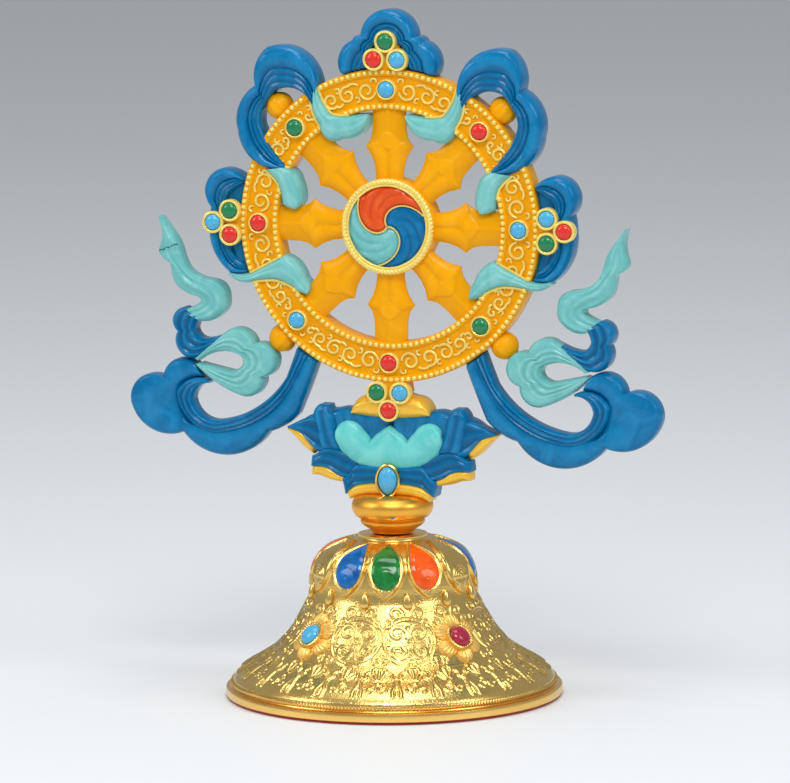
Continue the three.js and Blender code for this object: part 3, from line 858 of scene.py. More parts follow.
def spoke_relief(r, t):
    """Height of a spoke's face at the radius r and the share t (-1 to 1) of its half width."""
    side = np.abs(t)
    inner_edge = 22.9 + 2.3 * (1 - (1 - side) ** 2.5)
    arch = 28.3 - 3.9 * (side / 0.75) ** 1.7
    crown = -1.25 * side**2.4
    lobes = 0.5 * np.sin(np.pi * np.clip(side * 1.05, 0, 1)) ** 0.8 - 0.12
    in_lobes = 1 - blend(r, inner_edge - 0.35, inner_edge + 0.1)
    in_petal = (1 - in_lobes) * (1 - blend(r, arch - 0.3, arch + 0.15))
    petal = 0.12 + 0.3 * np.clip(1 - side / 0.75, 0, 1)
    shaft = 0.22 * (1 - blend(side, 0.02, 0.16)) - 0.05
    on_shaft = (1 - in_lobes) * (1 - in_petal)
    return crown + lobes * in_lobes + petal * in_petal + shaft * on_shaft


def build_spokes(sizes, materials):
    clay = Clay()
    radii, halves = np.array(SPOKE_HALF_WIDTHS).T
    r = np.concatenate([np.linspace(13.4, 21, 16), np.linspace(21.3, 29.5, 44), np.linspace(30, 36.4, 12)])
    w = np.interp(r, radii, halves)
    t = np.sin(np.linspace(-1, 1, 33) * np.pi / 2) * 0.5 + np.linspace(-1, 1, 33) * 0.5
    relief = spoke_relief(r[:, None], t[None, :])
    set_back = 0.6
    front = panel_point(t[None, :] * w[:, None], r[:, None], relief - set_back)
    side = [(1.0, 1.9), (0.9, 2.9), (0.55, 3.5)]
    across_back = side + [(0, 3.7)] + [(-share, depth) for share, depth in side[::-1]]
    rear = [panel_point(w * share, r, -set_back - depth) for share, depth in across_back]
    loops = np.concatenate([front, np.stack(rear, axis=1)], axis=1)
    vertices, faces = skin(loops)
    # Painted shade: darker where the spoke's face dips, and on its back and side walls.
    dips = np.clip(0.25 - relief - 1.1 * np.abs(t) ** 2.4, 0, 1) * 0.7
    hollow = np.concatenate([dips, np.full((len(r), len(rear)), 0.6)], axis=1)
    for i in range(8):
        turn = math.radians(45 * i)
        x, y, z = vertices[:, 0], vertices[:, 1], vertices[:, 2] - WHEEL_CENTRE_HEIGHT
        turned_x = x * math.cos(turn) + z * math.sin(turn)
        turned_z = -x * math.sin(turn) + z * math.cos(turn)
        spoke = np.stack([turned_x, y, turned_z + WHEEL_CENTRE_HEIGHT], axis=-1)
        clay.add(spoke, faces, hollow=hollow.reshape(-1))
    clay.piece("wheel_spokes", [materials["yellow"]], sharp=50)


# Hub


def whirl_angle(start, radius):
    return np.radians(start - WHIRL_TURN * radius)


def build_hub(sizes, materials):
    plate = Clay()
    face = 0.25
    depth = FACE - BACK - 0.4
    profile = [
        (0, face), (12.2, face), (12.4, 0.5), (14.2, 0.5), (14.5, 0.1), (14.5, depth + 0.6), (13.9, depth),
        (9.5, depth), (9.0, depth + 0.8), (5.0, depth + 0.8), (4.0, depth - 0.2), (0, depth - 0.6),
    ]
    vertices, faces = turned(profile, 96)
    plate.add(onto_panel(vertices), faces)
    plate.piece("hub_plate", [materials["yellow"]])

    rope = Clay()
    segments, sides = 560, 12
    around = np.linspace(0, 2 * np.pi, segments, endpoint=False)[:, None]
    section = np.linspace(0, 2 * np.pi, sides, endpoint=False)[None, :]
    for radius, thick, twists, height in ((13.55, 0.9, 70, 0.75), (12.45, 0.38, 0, 1.05)):
        swell = thick * (1 + 0.13 * np.sin(twists * around + 2 * section) * (twists > 0))
        reach = radius + swell * np.cos(section)
        rise = height + swell * np.sin(section)
        ring = np.stack([reach * np.cos(around), reach * np.sin(around), rise + 0 * reach], axis=-1)
        rope.add(onto_panel(ring.reshape(-1, 3)), grid_faces(segments, sides, True, True))
    unit, bead_faces = ball(1)
    for start in (5, 125, 245):
        r = np.arange(0.4, 12.1, 0.16)
        x, z = r * np.cos(whirl_angle(start, r)), r * np.sin(whirl_angle(start, r))
        length = np.concatenate([[0], np.cumsum(np.hypot(np.diff(x), np.diff(z)))])
        for s in np.arange(0, length[-1], 0.52):
            centre = panel_point(np.interp(s, length, x), np.interp(s, length, z), 1.15)
            rope.add(unit * 0.31 + centre, bead_faces)
    rope.piece("hub_rope_and_whirl_wires", [materials["wire"]])

    r = np.concatenate([np.linspace(0.25, 2, 8), np.linspace(2.4, 12.2, 40)])
    share = np.linspace(0, 1, 33)
    for start, name in ((125, "orange"), (5, "blue"), (245, "teal")):
        angle = whirl_angle(start, r)[:, None] + np.radians(120) * share[None, :]
        width = np.radians(120) * r[:, None]
        gap = np.minimum(share, 1 - share)[None, :] * width
        rim_gap = (12.3 - r)[:, None]
        crown = 0.75 * blend(np.minimum(gap, rim_gap), 0, 1.6)
        flow = share[None, :] * 3.6 + 0.03 * r[:, None]
        folds = 0.14 * np.cos(2 * np.pi * flow) * blend(gap, 0.6, 2.2) * blend(r[:, None], 4, 7)
        top = panel_point(r[:, None] * np.cos(angle), r[:, None] * np.sin(angle), 0.45 + crown + folds)
        under = panel_point(r * np.cos(angle[:, 16]), r * np.sin(angle[:, 16]), np.full(len(r), -0.6))
        loops = np.concatenate([top, under[:, None, :]], axis=1)
        # Painted shade: darker in the grooves between the folds.
        hollow = np.concatenate([np.clip(-folds / 0.14, 0, 1) * 0.6, np.zeros((len(r), 1))], axis=1)
        clay = Clay()
        clay.add(*skin(loops), hollow=hollow.reshape(-1))
        clay.piece(f"hub_whirl_{name}", [materials[name]])


def build_knobs(sizes, materials):
    """The four buds on the diagonals, each with a low point outward and ten soft flutes."""
    clay = Clay()
    profile = []
    for k in np.linspace(-np.pi / 2, np.pi / 2, 19):
        reach = 4.2 * math.cos(k)
        rise = 4.1 * math.sin(k) + 0.9 * max(0.0, math.sin(k)) ** 12
        profile.append((max(reach, 0.0), rise))
    profile[0] = (0.0, profile[0][1])
    profile[-1] = (0.0, profile[-1][1])

    def flutes(angle, index):
        level = np.sin(np.pi * index / (len(profile) - 1)) ** 2
        return 0.24 * np.abs(np.cos(5 * angle)) * level - 0.12, 0 * angle * index

    vertices, faces = turned(profile, 56, flutes)
    for degrees in (45, 135, 225, 315):
        t = math.radians(degrees)
        out = np.array([math.cos(t), 0, math.sin(t)])
        aside = np.array([-math.sin(t), 0, math.cos(t)])
        depth = np.array([0.0, 1.0, 0.0])
        place = out * KNOB_CIRCLE + np.array([0, (FACE + BACK) / 2, WHEEL_CENTRE_HEIGHT])
        bud = vertices[:, 2:3] * out + vertices[:, 0:1] * aside + vertices[:, 1:2] * depth + place
        clay.add(bud, faces)
    clay.piece("bud_knobs", [materials["yellow"]])


# Clouds, tails and ribbons. The top cloud is drawn whole, the others for the left side and mirrored.


# The clouds and the floors of their hollows end short of the rim's back, each in a plane of its own.
CLOUD_BACK = 5.3
FLOOR_BACK = 5.1
TOP_CLOUD = {
    "inner": [(-6.5, 42, 1), (-5.2, 50, 1), (-2.8, 54.5, 2.2), (2.8, 54.5, 1), (5.2, 50, 1), (6.5, 42)],
    "outer": [(-13.5, 43.5, 3.4), (-11.3, 55.4, 0.6), (-8.7, 56.8, 8), (8.7, 56.8, 0.6), (11.3, 55.4, 3.4),
              (13.5, 43.5)],
}
SHOULDER_CLOUD = {
    "inner": [(-32, 17.4, 0.9), (-40.2, 29.5, 0.8), (-38.5, 36.1, 0.3), (-35.6, 39.9, 2.8), (-24, 35.3)],
    "outer": [(-32.6, 16.4, 4.3), (-47.7, 27.5, 2.7), (-41.8, 41.5, 2.0), (-38, 53, 4.7), (-21.7, 42.1)],
}
SIDE_CLOUD = {
    "inner": [(-41, -12.6, 0.5), (-47, -12, 1.4), (-50.5, -4, 0.2), (-51, 3, 1.6), (-49, 9.5, 0.8),
              (-45, 11)],
    "outer": [(-41.5, -14.4, 0.6), (-50.8, -15.6, 2.2), (-57.4, -1, 0.2), (-56.8, 4.4, 3.9),
              (-52.5, 16.2, 0.9), (-45.5, 12.8)],
}
UPPER_TAIL = {
    "inner": [(-21.8, 41.4, -0.6), (-17.5, 33.4, -0.3), (-12, 33, 0.1), (-6.2, 33.6)],
    "outer": [(-23, 41.6, -1.7), (-21.5, 29.9, -2.6), (-14.1, 25.8, -2.3), (-5.6, 32.8)],
}
MIDDLE_TAIL = {
    "inner": [(-32.5, 17, 1.0), (-28.2, 13.5, 0.3), (-27, 8, 0.4), (-28.5, 4.8)],
    "outer": [(-39.1, 16.1, 0.3), (-34.8, 11.8, 0.1), (-33.6, 5.8, -0.3), (-30, 4.4)],
}
LOWER_TAIL = {
    "inner": [(-50.6, -15.1, -0.6), (-43, -14.7, 0), (-33, -9.4, 1.2), (-26.6, -16, 0.5), (-25.1, -20)],
    "outer": [(-50.8, -16.1, -0.9), (-44, -18.2, 0.3), (-36, -17.2, 0.2), (-30.5, -19.2, -0.6),
              (-26, -21.2)],
}
RIBBON_SKIRT = {
    "inner": [(-24, -33, 0.3), (-34.2, -51, 0.8), (-41.2, -58.4, 1.5), (-64, -61.3, 0.8),
              (-67.5, -55, 0.6), (-67, -50, 0.8), (-60, -47.6)],
    "outer": [(-20.5, -33, 0.4), (-29.8, -57.6, 0.9), (-39.4, -63.7, 7.1), (-66.9, -64.7, 4.4),
              (-84, -55.8, 4.0), (-73.3, -47.8, 3.3), (-62.6, -43.2)],
}
RIBBON_FLOW = {
    "inner": [(-27, -30, 0.1), (-33.2, -46.6, 2.7), (-54.6, -60.4, 2.2), (-63.2, -54.3, 1.4), (-58, -49.3)],
    "outer": [(-21.5, -30, 0.4), (-28.4, -44.6, 4.1), (-52, -64.2, 5), (-68.7, -52, 2.3), (-57.6, -48.5)],
}
RIBBON_LOOP = {
    "inner": [(-61, -42.4, 0.5), (-54, -39.6, 0.3), (-49, -40.3, 1.6), (-48.6, -44.5, 0.3),
              (-51.5, -45.2, 0), (-61, -43.2)],
    "outer": [(-62.5, -41.7, 0.3), (-51.6, -32.8, 2.2), (-43, -36.5, 5.5), (-40.3, -47, 2.1),
              (-47, -53.1, 1.3), (-62.5, -43.6)],
}
RIBBON_CURL = {
    "inner": [(-52.4, -33.6, 0.3), (-58.6, -35.7, 1.0), (-62.5, -33, 0.3), (-61, -29.6)],
    "outer": [(-52.6, -34.8, 0.4), (-60.4, -40.8, 4.3), (-68.3, -33.9, 2.6), (-66, -26.4)],
}
RIBBON_TIP = {
    "inner": [(-66, -27.2, -0.2), (-60.4, -24.6, 0.2), (-60.8, -23.1, 0.9), (-69, -19.3, 0.3),
              (-70.3, -12.7, 0.8), (-74.2, -9.5, -0.3), (-72.8, -3.9, -0.3), (-73.9, 1.1)],
    "outer": [(-60.5, -30.6, -0.9), (-54.2, -28.4, -1.0), (-52.1, -23.6, -2.0), (-57.5, -17.7, 0.6),
              (-64.6, -14.8, 0.3), (-67.2, -7.6, -0.2), (-70.6, -2.6, 0), (-73.2, 0.9)],
}


def cloud_folds(t, along, width):
    """A broad rounded lip outside, and three folds by the inner edge that fade at its ends."""
    lip = 1.0 * np.sin(np.pi * np.clip((t - 0.48) / 0.52, 0, 1)) ** 0.75
    lip = lip - 0.14 * np.exp(-(((t - 0.86) / 0.03) ** 2))
    folds = 0.4 + 0.23 * np.cos(2 * np.pi * (t / 0.48) * 3 + np.pi + 0.5 * np.sin(along / 9))
    return lip * blend(t, 0.46, 0.53) + folds * (1 - blend(t, 0.44, 0.5)) + 0 * width


def ribbon_folds(t, along, width):
    """Three parallel flutes."""
    return 0.5 + 0.32 * np.cos(2 * np.pi * t * 3 + np.pi) * np.sin(np.pi * t) ** 0.35 + 0 * width


def soft_lobe(t, along, width):
    """A plump lobe with a slight dip beside the flutes, and brush-soft waves on its face."""
    waves = 0.05 * np.sin(along / 2.1 + 3 * t) * np.sin(np.pi * t)
    dip = 0.25 * np.exp(-((t / 0.12) ** 2))
    return 0.9 * np.sin(np.pi * np.clip(t, 0, 1)) ** 0.6 - dip + waves + 0 * width


def tail_swell(t, along, width):
    """A plump tail with lines along it that spread from its narrow end and die out on its head."""
    narrow = np.clip(1.25 - width / 9, 0, 1)
    lines = 0.2 * np.cos(2 * np.pi * (3 * t + 0.012 * along)) * np.sin(np.pi * t) * narrow
    return 1.0 * np.sin(np.pi * t) ** 0.8 + lines


def eye_rings(t, along, width):
    """Rings round the eye of the ribbon's loop, dying out towards its lobed edge."""
    rings = 0.19 * np.cos(2 * np.pi * t * 4.5 + np.pi + 0.7 * np.sin(along / 7)) * (1 - blend(t, 0.45, 0.8))
    return 0.45 + rings + 0.4 * np.sin(np.pi * t) + 0 * width


def streamer(t, along, width):
    """A streamer with a strong fold that leans from edge to edge, and thin lines beside it."""
    lean = 0.5 + 0.2 * np.sin(along / 4.6)
    fold = 0.5 * np.exp(-(((t - lean) / 0.2) ** 2))
    lines = 0.17 * np.cos(2 * np.pi * (3.4 * t - 0.8 * lean)) * np.sin(np.pi * t)
    return 0.3 + fold + lines + 0 * width


def add_both(clay, shape, hands=(1, -1), slot=0):
    vertices, faces, values = shape
    for hand in hands:
        clay.add(vertices if hand > 0 else mirrored(vertices), faces, slot, **values)


def build_clouds(sizes, materials):
    top = Clay()
    cloud = relief_band(**TOP_CLOUD, relief=cloud_folds, lift=-0.1, back=CLOUD_BACK, under_rim=2.6)
    add_both(top, cloud, hands=(1,))
    low = [(-6.8, 40.5), (-5.4, 40.5), (-3, 40.5), (3, 40.5), (5.4, 40.5), (6.8, 40.5)]
    high = [(-6.8, 42, 1), (-5.4, 50, 1), (-3, 54.8, 2.4), (3, 54.8, 1), (5.4, 50, 1), (6.8, 42)]
    floor = relief_band(low, high, lambda t, a, w: 0 * t * w, lift=-1.1, back=FLOOR_BACK, under_rim=1.6)
    add_both(top, floor, hands=(1,))
    top.piece("top_cloud", [materials["blue"]])
    for hand, side in ((1, "left"), (-1, "right")):
        clay = Clay()
        cloud = relief_band(**SHOULDER_CLOUD, relief=cloud_folds, lift=0.3, back=CLOUD_BACK)
        add_both(clay, cloud, hands=(hand,))
        clay.piece(f"shoulder_cloud_{side}", [materials["blue"]])
        clay = Clay()
        cloud = relief_band(**SIDE_CLOUD, relief=cloud_folds, lift=-0.2, back=CLOUD_BACK, under_rim=2.6)
        add_both(clay, cloud, hands=(hand,))
        near = [(-40.5, -13.2, 0.2), (-44.5, -3, 0.2), (-45, 4, 0.1), (-44.8, 8), (-43.8, 12)]
        far = [(-47.8, -13.4, 1.3), (-51, -3.4, 0.2), (-52.4, 3.4, 0.5), (-52, 8.4, 0.8), (-47.6, 12.6)]
        floor = relief_band(near, far, lambda t, a, w: 0 * t * w, lift=-1.6, back=FLOOR_BACK, under_rim=1.0)
        add_both(clay, floor, hands=(hand,))
        clay.piece(f"side_cloud_{side}", [materials["blue"]])


def build_tails(sizes, materials):
    tails = [
        ("upper", UPPER_TAIL, 0.55),
        ("middle", MIDDLE_TAIL, 0.5),
        ("lower", LOWER_TAIL, 0.45),
    ]
    lines = Clay()
    for name, shape, lift in tails:
        for hand, side in ((1, "left"), (-1, "right")):
            clay = Clay()
            add_both(clay, relief_band(**shape, relief=tail_swell, lift=lift, back=3.8), hands=(hand,))
            clay.piece(f"{name}_tail_{side}", [materials["teal"]])
        for line in paired_edges(shape["inner"], shape["outer"], 0.5):
            reach = np.hypot(line[:, 0], line[:, 1])
            on_rim = line[(reach > RIM_INNER + 0.2) & (reach < RIM_OUTER - 0.2)]
            if len(on_rim) < 4:
                continue
            path = panel_point(on_rim[:, 0], on_rim[:, 1], 0.02)
            vertices, faces = tube(path, 0.42, 7)
            lines.add(vertices, faces)
            lines.add(mirrored(vertices), faces)
    lines.piece("rim_cut_borders", [materials["wire"]])


def build_ribbons(sizes, materials):
    for hand, side in ((1, "left"), (-1, "right")):
        clay = Clay()
        skirt = relief_band(**RIBBON_SKIRT, relief=soft_lobe, lift=-0.8, back=4.6, under_rim=2.0)
        flow = relief_band(**RIBBON_FLOW, relief=ribbon_folds, lift=0.15, back=3.6, under_rim=3.2)
        add_both(clay, skirt, hands=(hand,))
        add_both(clay, flow, hands=(hand,))
        clay.piece(f"blue_ribbon_{side}", [materials["blue"]])
        clay = Clay()
        loop = relief_band(**RIBBON_LOOP, relief=eye_rings, lift=-0.1, back=4.0, across=44)
        add_both(clay, loop, hands=(hand,))
        clay.piece(f"turquoise_ribbon_loop_{side}", [materials["teal"]])
        clay = Clay()
        add_both(clay, relief_band(**RIBBON_CURL, relief=ribbon_folds, lift=-0.3, back=4.8), hands=(hand,))
        clay.piece(f"blue_ribbon_curl_{side}", [materials["blue"]])
        clay = Clay()
        tip = relief_band(**RIBBON_TIP, relief=streamer, lift=-0.45, back=4.2, soften=5)
        add_both(clay, tip, hands=(hand,))
        if side == "left":
            add_crack(clay, tip[0], (-73.6, -9.4), (-67.7, -7.2))
        clay.piece(f"turquoise_ribbon_tip_{side}", [materials["teal"], materials["crack"]])


def add_crack(clay, surface, start, end):
    """A hairline crack across the paint, in five uneven lengths that wander a little, drawn dark as the
    painted shadow inside it.
    """
    front = surface[surface[:, 1] < 1.5]
    share = np.linspace(0, 1, 41)
    x = start[0] + (end[0] - start[0]) * share
    z = start[1] + (end[1] - start[1]) * share + 0.16 * np.sin(share * 17) + 0.1 * np.sin(share * 41)
    spots = np.stack([x, z + WHEEL_CENTRE_HEIGHT], axis=1)
    nearest = np.linalg.norm(front[None, :, ::2] - spots[:, None, :], axis=2).argmin(axis=1)
    path = np.stack([x, front[nearest, 1] - 0.03, z + WHEEL_CENTRE_HEIGHT], axis=1)
    for first, last in ((0, 9), (10, 17), (18, 27), (28, 33), (34, 41)):
        clay.add(*tube(path[first:last], 0.15, 5), slot=1)


# Lotus


def petal_dish(t, along, width):
    """A petal with a thick rolled rim and a shallow dish."""
    rolled = 0.7 * np.exp(-(((t - 0.9) / 0.1) ** 2)) + 0.4 * np.exp(-(((t - 0.08) / 0.1) ** 2))
    return rolled + 0.25 * np.cos(2 * np.pi * t * 2) * np.sin(np.pi * t) + 0 * width


def plump(t, along, width):
    return 0.9 * np.sin(np.pi * t) ** 0.7 + 0 * width


def twin_rolls(t, along, width):
    """Two plump rolls side by side with a crease between them."""
    rolls = np.abs(np.sin(2 * np.pi * (0.06 + 0.88 * t))) ** 0.7
    return 0.7 * rolls + 0.3 * np.sin(np.pi * t) + 0 * width


def jagged_slope(t, along, width):
    """The jagged, leafy slope behind the bowl."""
    leaves = 0.3 * np.abs(np.sin(along * 0.95 + 1.4 * t)) + 0.12 * np.abs(np.sin(along * 2.3 - 5 * t))
    return 0.2 + leaves * blend(t, 0.0, 0.1) + 0.3 * (1 - t) + 0 * width


# Each petal of the left half: its upper edge, its lower edge, finish, relief, lift and back
LOTUS_PETALS = [
    ([(-28.5, -59.6, 0.5), (-23.6, -57.2, 0.9), (-18.2, -56.2, 0.8), (-12.6, -55.6, 0.3), (0, -56.8)],
     [(-24.6, -67.8, 0.2), (-21.0, -70.4, 0.2), (-15, -72.6, 0.3), (-9, -74, 0.2), (0, -75)],
     "blue", jagged_slope, -1.0, 5.6),
    ([(-19.5, -56.9, -0.1), (-23.0, -57.7, -0.1), (-26.8, -58.6, -0.1), (-30.2, -60.2, 0), (-33.2, -61.6)],
     [(-19, -69.6, 0.2), (-24.5, -68.6, 0.1), (-26.9, -65.5, -0.2), (-29.4, -62.9, 0.1), (-33.0, -61.9)],
     "blue", petal_dish, 0.1, 4.6),
    ([(-23.4, -67.6, 0), (-25.8, -64.6, -0.1), (-28.6, -62.2, 0.1), (-33.0, -61.5)],
     [(-24.9, -69.7, 0.1), (-27.7, -67.9, 0.2), (-30.3, -65.1, 0.2), (-33.3, -62.2)],
     "lip", plump, -0.7, 4.1),
    ([(-14.6, -68.4, -0.4), (-17.1, -62.2, 0.2), (-17.6, -57.6, 0.4), (-19.6, -54.5)],
     [(-22.2, -68.4, 0.3), (-23.4, -62.4, -0.2), (-24.9, -57.8, 0.6), (-22.6, -54.4)],
     "blue", twin_rolls, 0.6, 4.3),
    ([(-9, -71, -0.2), (-13, -69.0, -0.4), (-17.5, -67.3, -0.4), (-21.6, -67.5, 0.5), (-24.9, -70.0)],
     [(-11, -76.9, 0), (-16.2, -76.2, 0.3), (-19.3, -73.9, 0.1), (-22.2, -73.3, 0.2), (-25.3, -73.2)],
     "blue", petal_dish, 1.1, 4.0),
    ([(-13.2, -76.2, 0), (-16.2, -75.2, 0.1), (-19.0, -72.6, 0.1), (-22, -72.2, 0.1), (-25.0, -72.9)],
     [(-13.2, -77.9, 0), (-16.6, -77.6, 0.1), (-19.8, -77.0, 0.3), (-22.6, -75.7, 0.1), (-25.1, -75.9)],
     "lip", plump, 0.6, 3.5),
    ([(-0.1, -72.2, 0), (-6.5, -72.0, 0.1), (-11.4, -71.9, 0.9), (-15.0, -76.4)],
     [(-0.1, -77.7, 0), (-6.3, -77.7, 0.2), (-10.9, -78.5, 0.3), (-14.0, -81.2)],
     "blue", petal_dish, 2.2, 3.8),
    ([(-0.1, -76.9, 0), (-6.3, -76.9, 0.1), (-10.9, -77.5, 0.3), (-13.8, -80.2)],
     [(-0.1, -81.1, 0), (-6.3, -81.2, 0.1), (-10.6, -81.9, 0.1), (-12.6, -82.6)],
     "lip", plump, 2.0, 3.4),
]
# The turquoise bowl of the lotus: its top of three petals and its round bottom.
BOWL_TOP = [
    (-16.9, -62.6, 0.5), (-15.8, -59.9, 0.5), (-12.0, -59.1, 0.5), (-8.4, -61.6, 0.1), (-6.0, -64.4, 0.2),
    (-3.4, -62.0, 0.1), (-0.3, -60.0, 0.1), (2.8, -62.0, 0.2), (5.4, -64.4, 0.1), (7.8, -61.6, 0.5),
    (11.4, -59.1, 0.5), (15.2, -59.9, 0.5), (16.3, -62.6),
]
BOWL_FOOT = [
    (-16.8, -63.8, -0.4), (-16.0, -67.2, -0.4), (-13.6, -70.0, -0.3), (-10.6, -72.0, -0.2),
    (-7.2, -73.1, -0.1), (-3.6, -73.7, 0), (0.0, -73.9, 0), (3.6, -73.7, -0.1), (7.2, -73.1, -0.2),
    (10.6, -72.0, -0.3), (13.6, -70.0, -0.4), (16.0, -67.2, -0.4), (16.8, -63.8),
]
GOLD_DOME = {
    "inner": [(-12.4, -56.5, 1.6), (-7.4, -51.2, 0.4), (0, -50.4, 0.4), (7.4, -51.2, 1.6), (12.4, -56.5)],
    "outer": [(-12.4, -56.8, -0.1), (-6.5, -58.4, 0), (0, -58.9, 0), (6.5, -58.4, -0.1), (12.4, -56.8)],
}


def bowl_relief(t, along, width):
    """The bowl swells a little towards its middle."""
    return 1.3 * np.sin(np.pi * np.clip(t, 0, 1)) ** 0.9 + 0 * width


def build_lotus(sizes, materials):
    finishes = ["blue", "lip"]
    clay = Clay()
    for inner, outer, finish, relief, lift, back in LOTUS_PETALS:
        petal = relief_band(
            inner, outer, relief, lift, back, across=26, pitch=0.5, edge=1.9, round_ends=True, soften=14
        )
        add_both(clay, petal, slot=finishes.index(finish))
    clay.piece("lotus_petals", [materials[f] for f in finishes])

    bowl = Clay()
    shell = relief_band(BOWL_TOP, BOWL_FOOT, bowl_relief, 1.1, 3.0, across=36, pitch=0.5)
    add_both(bowl, shell, hands=(1,))
    bowl.piece("lotus_bowl", [materials["lotus_teal"]])

    dome = Clay()
    cap = relief_band(**GOLD_DOME, relief=plump, lift=0.0, back=5.4, edge=3.5, drop=2.6)
    add_both(dome, cap, hands=(1,))
    dome.piece("gold_dome", [materials["lip"]])


def build_neck(sizes, materials):
    low = 49.6
    profile = [
        (0, low), (6.0, low), (6.3, low + 0.1), (6.6, 50.2), (7.2, 50.7), (8.6, 51.6), (9.35, 52.2),
        (9.7, 52.7), (9.7, 53.2), (9.4, 53.6), (9.05, 53.9), (9.1, 54.1), (9.6, 54.2), (10.6, 54.3),
        (11.2, 54.7), (11.8, 55.6), (12.2, 56.6), (12.3, 57.6), (12.2, 58.5), (11.8, 59.4), (11.1, 60.2),
        (10.0, 60.8), (8.0, 61.1), (0, 61.2),
    ]
    clay = Clay()
    clay.add(*turned(profile, 96))
    unit, faces = ball(2)
    for degrees, height, wide, tall in ((19.4, 55.5, 0.62, 0.36), (22.2, 55.7, 0.3, 0.24)):
        t = math.radians(degrees)
        reach = np.interp(height, [54.7, 55.6, 56.6], [11.2, 11.8, 12.2])
        drop = unit * np.array([wide, 0.12, tall]) + np.array([0, -reach, 0])
        across = drop[:, 0] * math.cos(t) - drop[:, 1] * math.sin(t)
        depth = drop[:, 0] * math.sin(t) + drop[:, 1] * math.cos(t)
        clay.add(np.stack([across, depth, drop[:, 2] + height], axis=-1), faces, slot=1)
    clay.piece("turned_neck", [materials["satin"], materials["blue"]], sharp=28)


# Stones and bezels


def panel_seats():
    """Name, place, seat height, bezel radius and colour of every round stone on the panel."""
    seats = []
    colours = ["turquoise", "coral", "turquoise", "green", "coral", "turquoise", "coral", "green"]
    for i, colour in enumerate(colours):
        t = math.radians(90 - 45 * i)
        place = (STONE_CIRCLE * math.cos(t), STONE_CIRCLE * math.sin(t))
        seats.append((f"rim_stone_{i + 1}", *place, 0.3, 3.1, colour))
    groups = [
        ("top", 90, ("coral", "turquoise", "green")),
        ("right", 0, ("turquoise", "green", "coral")),
        ("left", 180, ("coral", "green", "turquoise")),
        ("bottom", -90, ("turquoise", "green", "coral")),
    ]
    for name, degrees, colours in groups:
        t = math.radians(degrees)
        places = ((PAIR_OUT, PAIR_ASIDE), (PAIR_OUT, -PAIR_ASIDE), (TIP_OUT, 0))
        for i, ((out, aside), colour) in enumerate(zip(places, colours)):
            x = out * math.cos(t) - aside * math.sin(t)
            z = out * math.sin(t) + aside * math.cos(t)
            seats.append((f"{name}_group_stone_{i + 1}", x, z, 0.9, 3.35, colour))
    return seats


STONE_SLOTS = {
    "turquoise": "turquoise_stone", "coral": "coral_stone", "green": "green_stone", "crimson": "coral_stone",
}


def dome(radius, height, segments=40, rings=9):
    """A cabochon standing on its flat back."""
    profile = [(0, 0), (radius * 0.97, 0), (radius, height * 0.12)]
    for k in np.linspace(0.12, 1, rings)[1:-1]:
        lean = k * math.pi / 2
        profile.append((radius * math.cos(lean) ** 0.85, height * (0.12 + 0.88 * math.sin(lean))))
    profile.append((0, height))
    return turned(profile, segments)


def bezel_ring(inner, outer, foot, top, depth, teeth=26, segments=104):
    """A bezel whose inner edge is nicked to this depth into small claws that hold the stone."""
    middle = (inner + outer) / 2
    profile = [
        (inner, foot), (inner, top - 0.35), (inner + 0.02, top - 0.1), (inner + 0.16, top),
        (middle, top + 0.05), (outer - 0.1, top - 0.1), (outer, top - 0.4), (outer, foot),
    ]

    def nicks(angle, index):
        claw = np.cos(teeth * angle)
        near_top = (index >= 1) & (index <= 3)
        return depth * claw * near_top, -1.1 * depth * (claw > 0) * near_top

    return turned(profile, segments, nicks)


def build_panel_stones(sizes, materials):
    bezels = Clay()
    for name, x, z, proud, outer, colour in panel_seats():
        vertices, faces = bezel_ring(2.5, outer, -1.6, 1.0, 0.05)
        bezels.add(onto_panel(vertices, x, z, proud), faces)
        vertices, faces = dome(sizes.stone_size / MM / 2 - 0.02, 1.85)
        stone = Clay()
        stone.add(onto_panel(vertices, x, z, proud + 0.05), faces)
        stone.piece(f"{name}_cabochon", [materials[colour]], STONE_SLOTS[colour], (name,))
    bezels.piece("stone_bezels", [materials["wire"]])

    webs = Clay()
    for degrees in (0, 90, 180, 270):
        t = math.radians(degrees)
        outline = [(46.2, 5.2), (PAIR_OUT, 5.8), (PAIR_OUT + 2.4, 4.6), (TIP_OUT, 2.7), (TIP_OUT + 2.0, 1.2)]
        loop = np.array(outline + [(u, -v) for u, v in outline[::-1]])
        levels = [(0.92, -0.1), (1.0, -0.7), (1.0, -6.0), (0.9, -6.6)]
        centre = loop.mean(axis=0)
        rings = []
        for scale, proud in levels:
            spot = centre + (loop - centre) * scale
            x = spot[:, 0] * math.cos(t) - spot[:, 1] * math.sin(t)
            z = spot[:, 0] * math.sin(t) + spot[:, 1] * math.cos(t)
            rings.append(panel_point(x, z, proud))
        webs.add(*skin(np.stack(rings)))
    webs.piece("stone_group_webs", [materials["yellow"]], sharp=30)


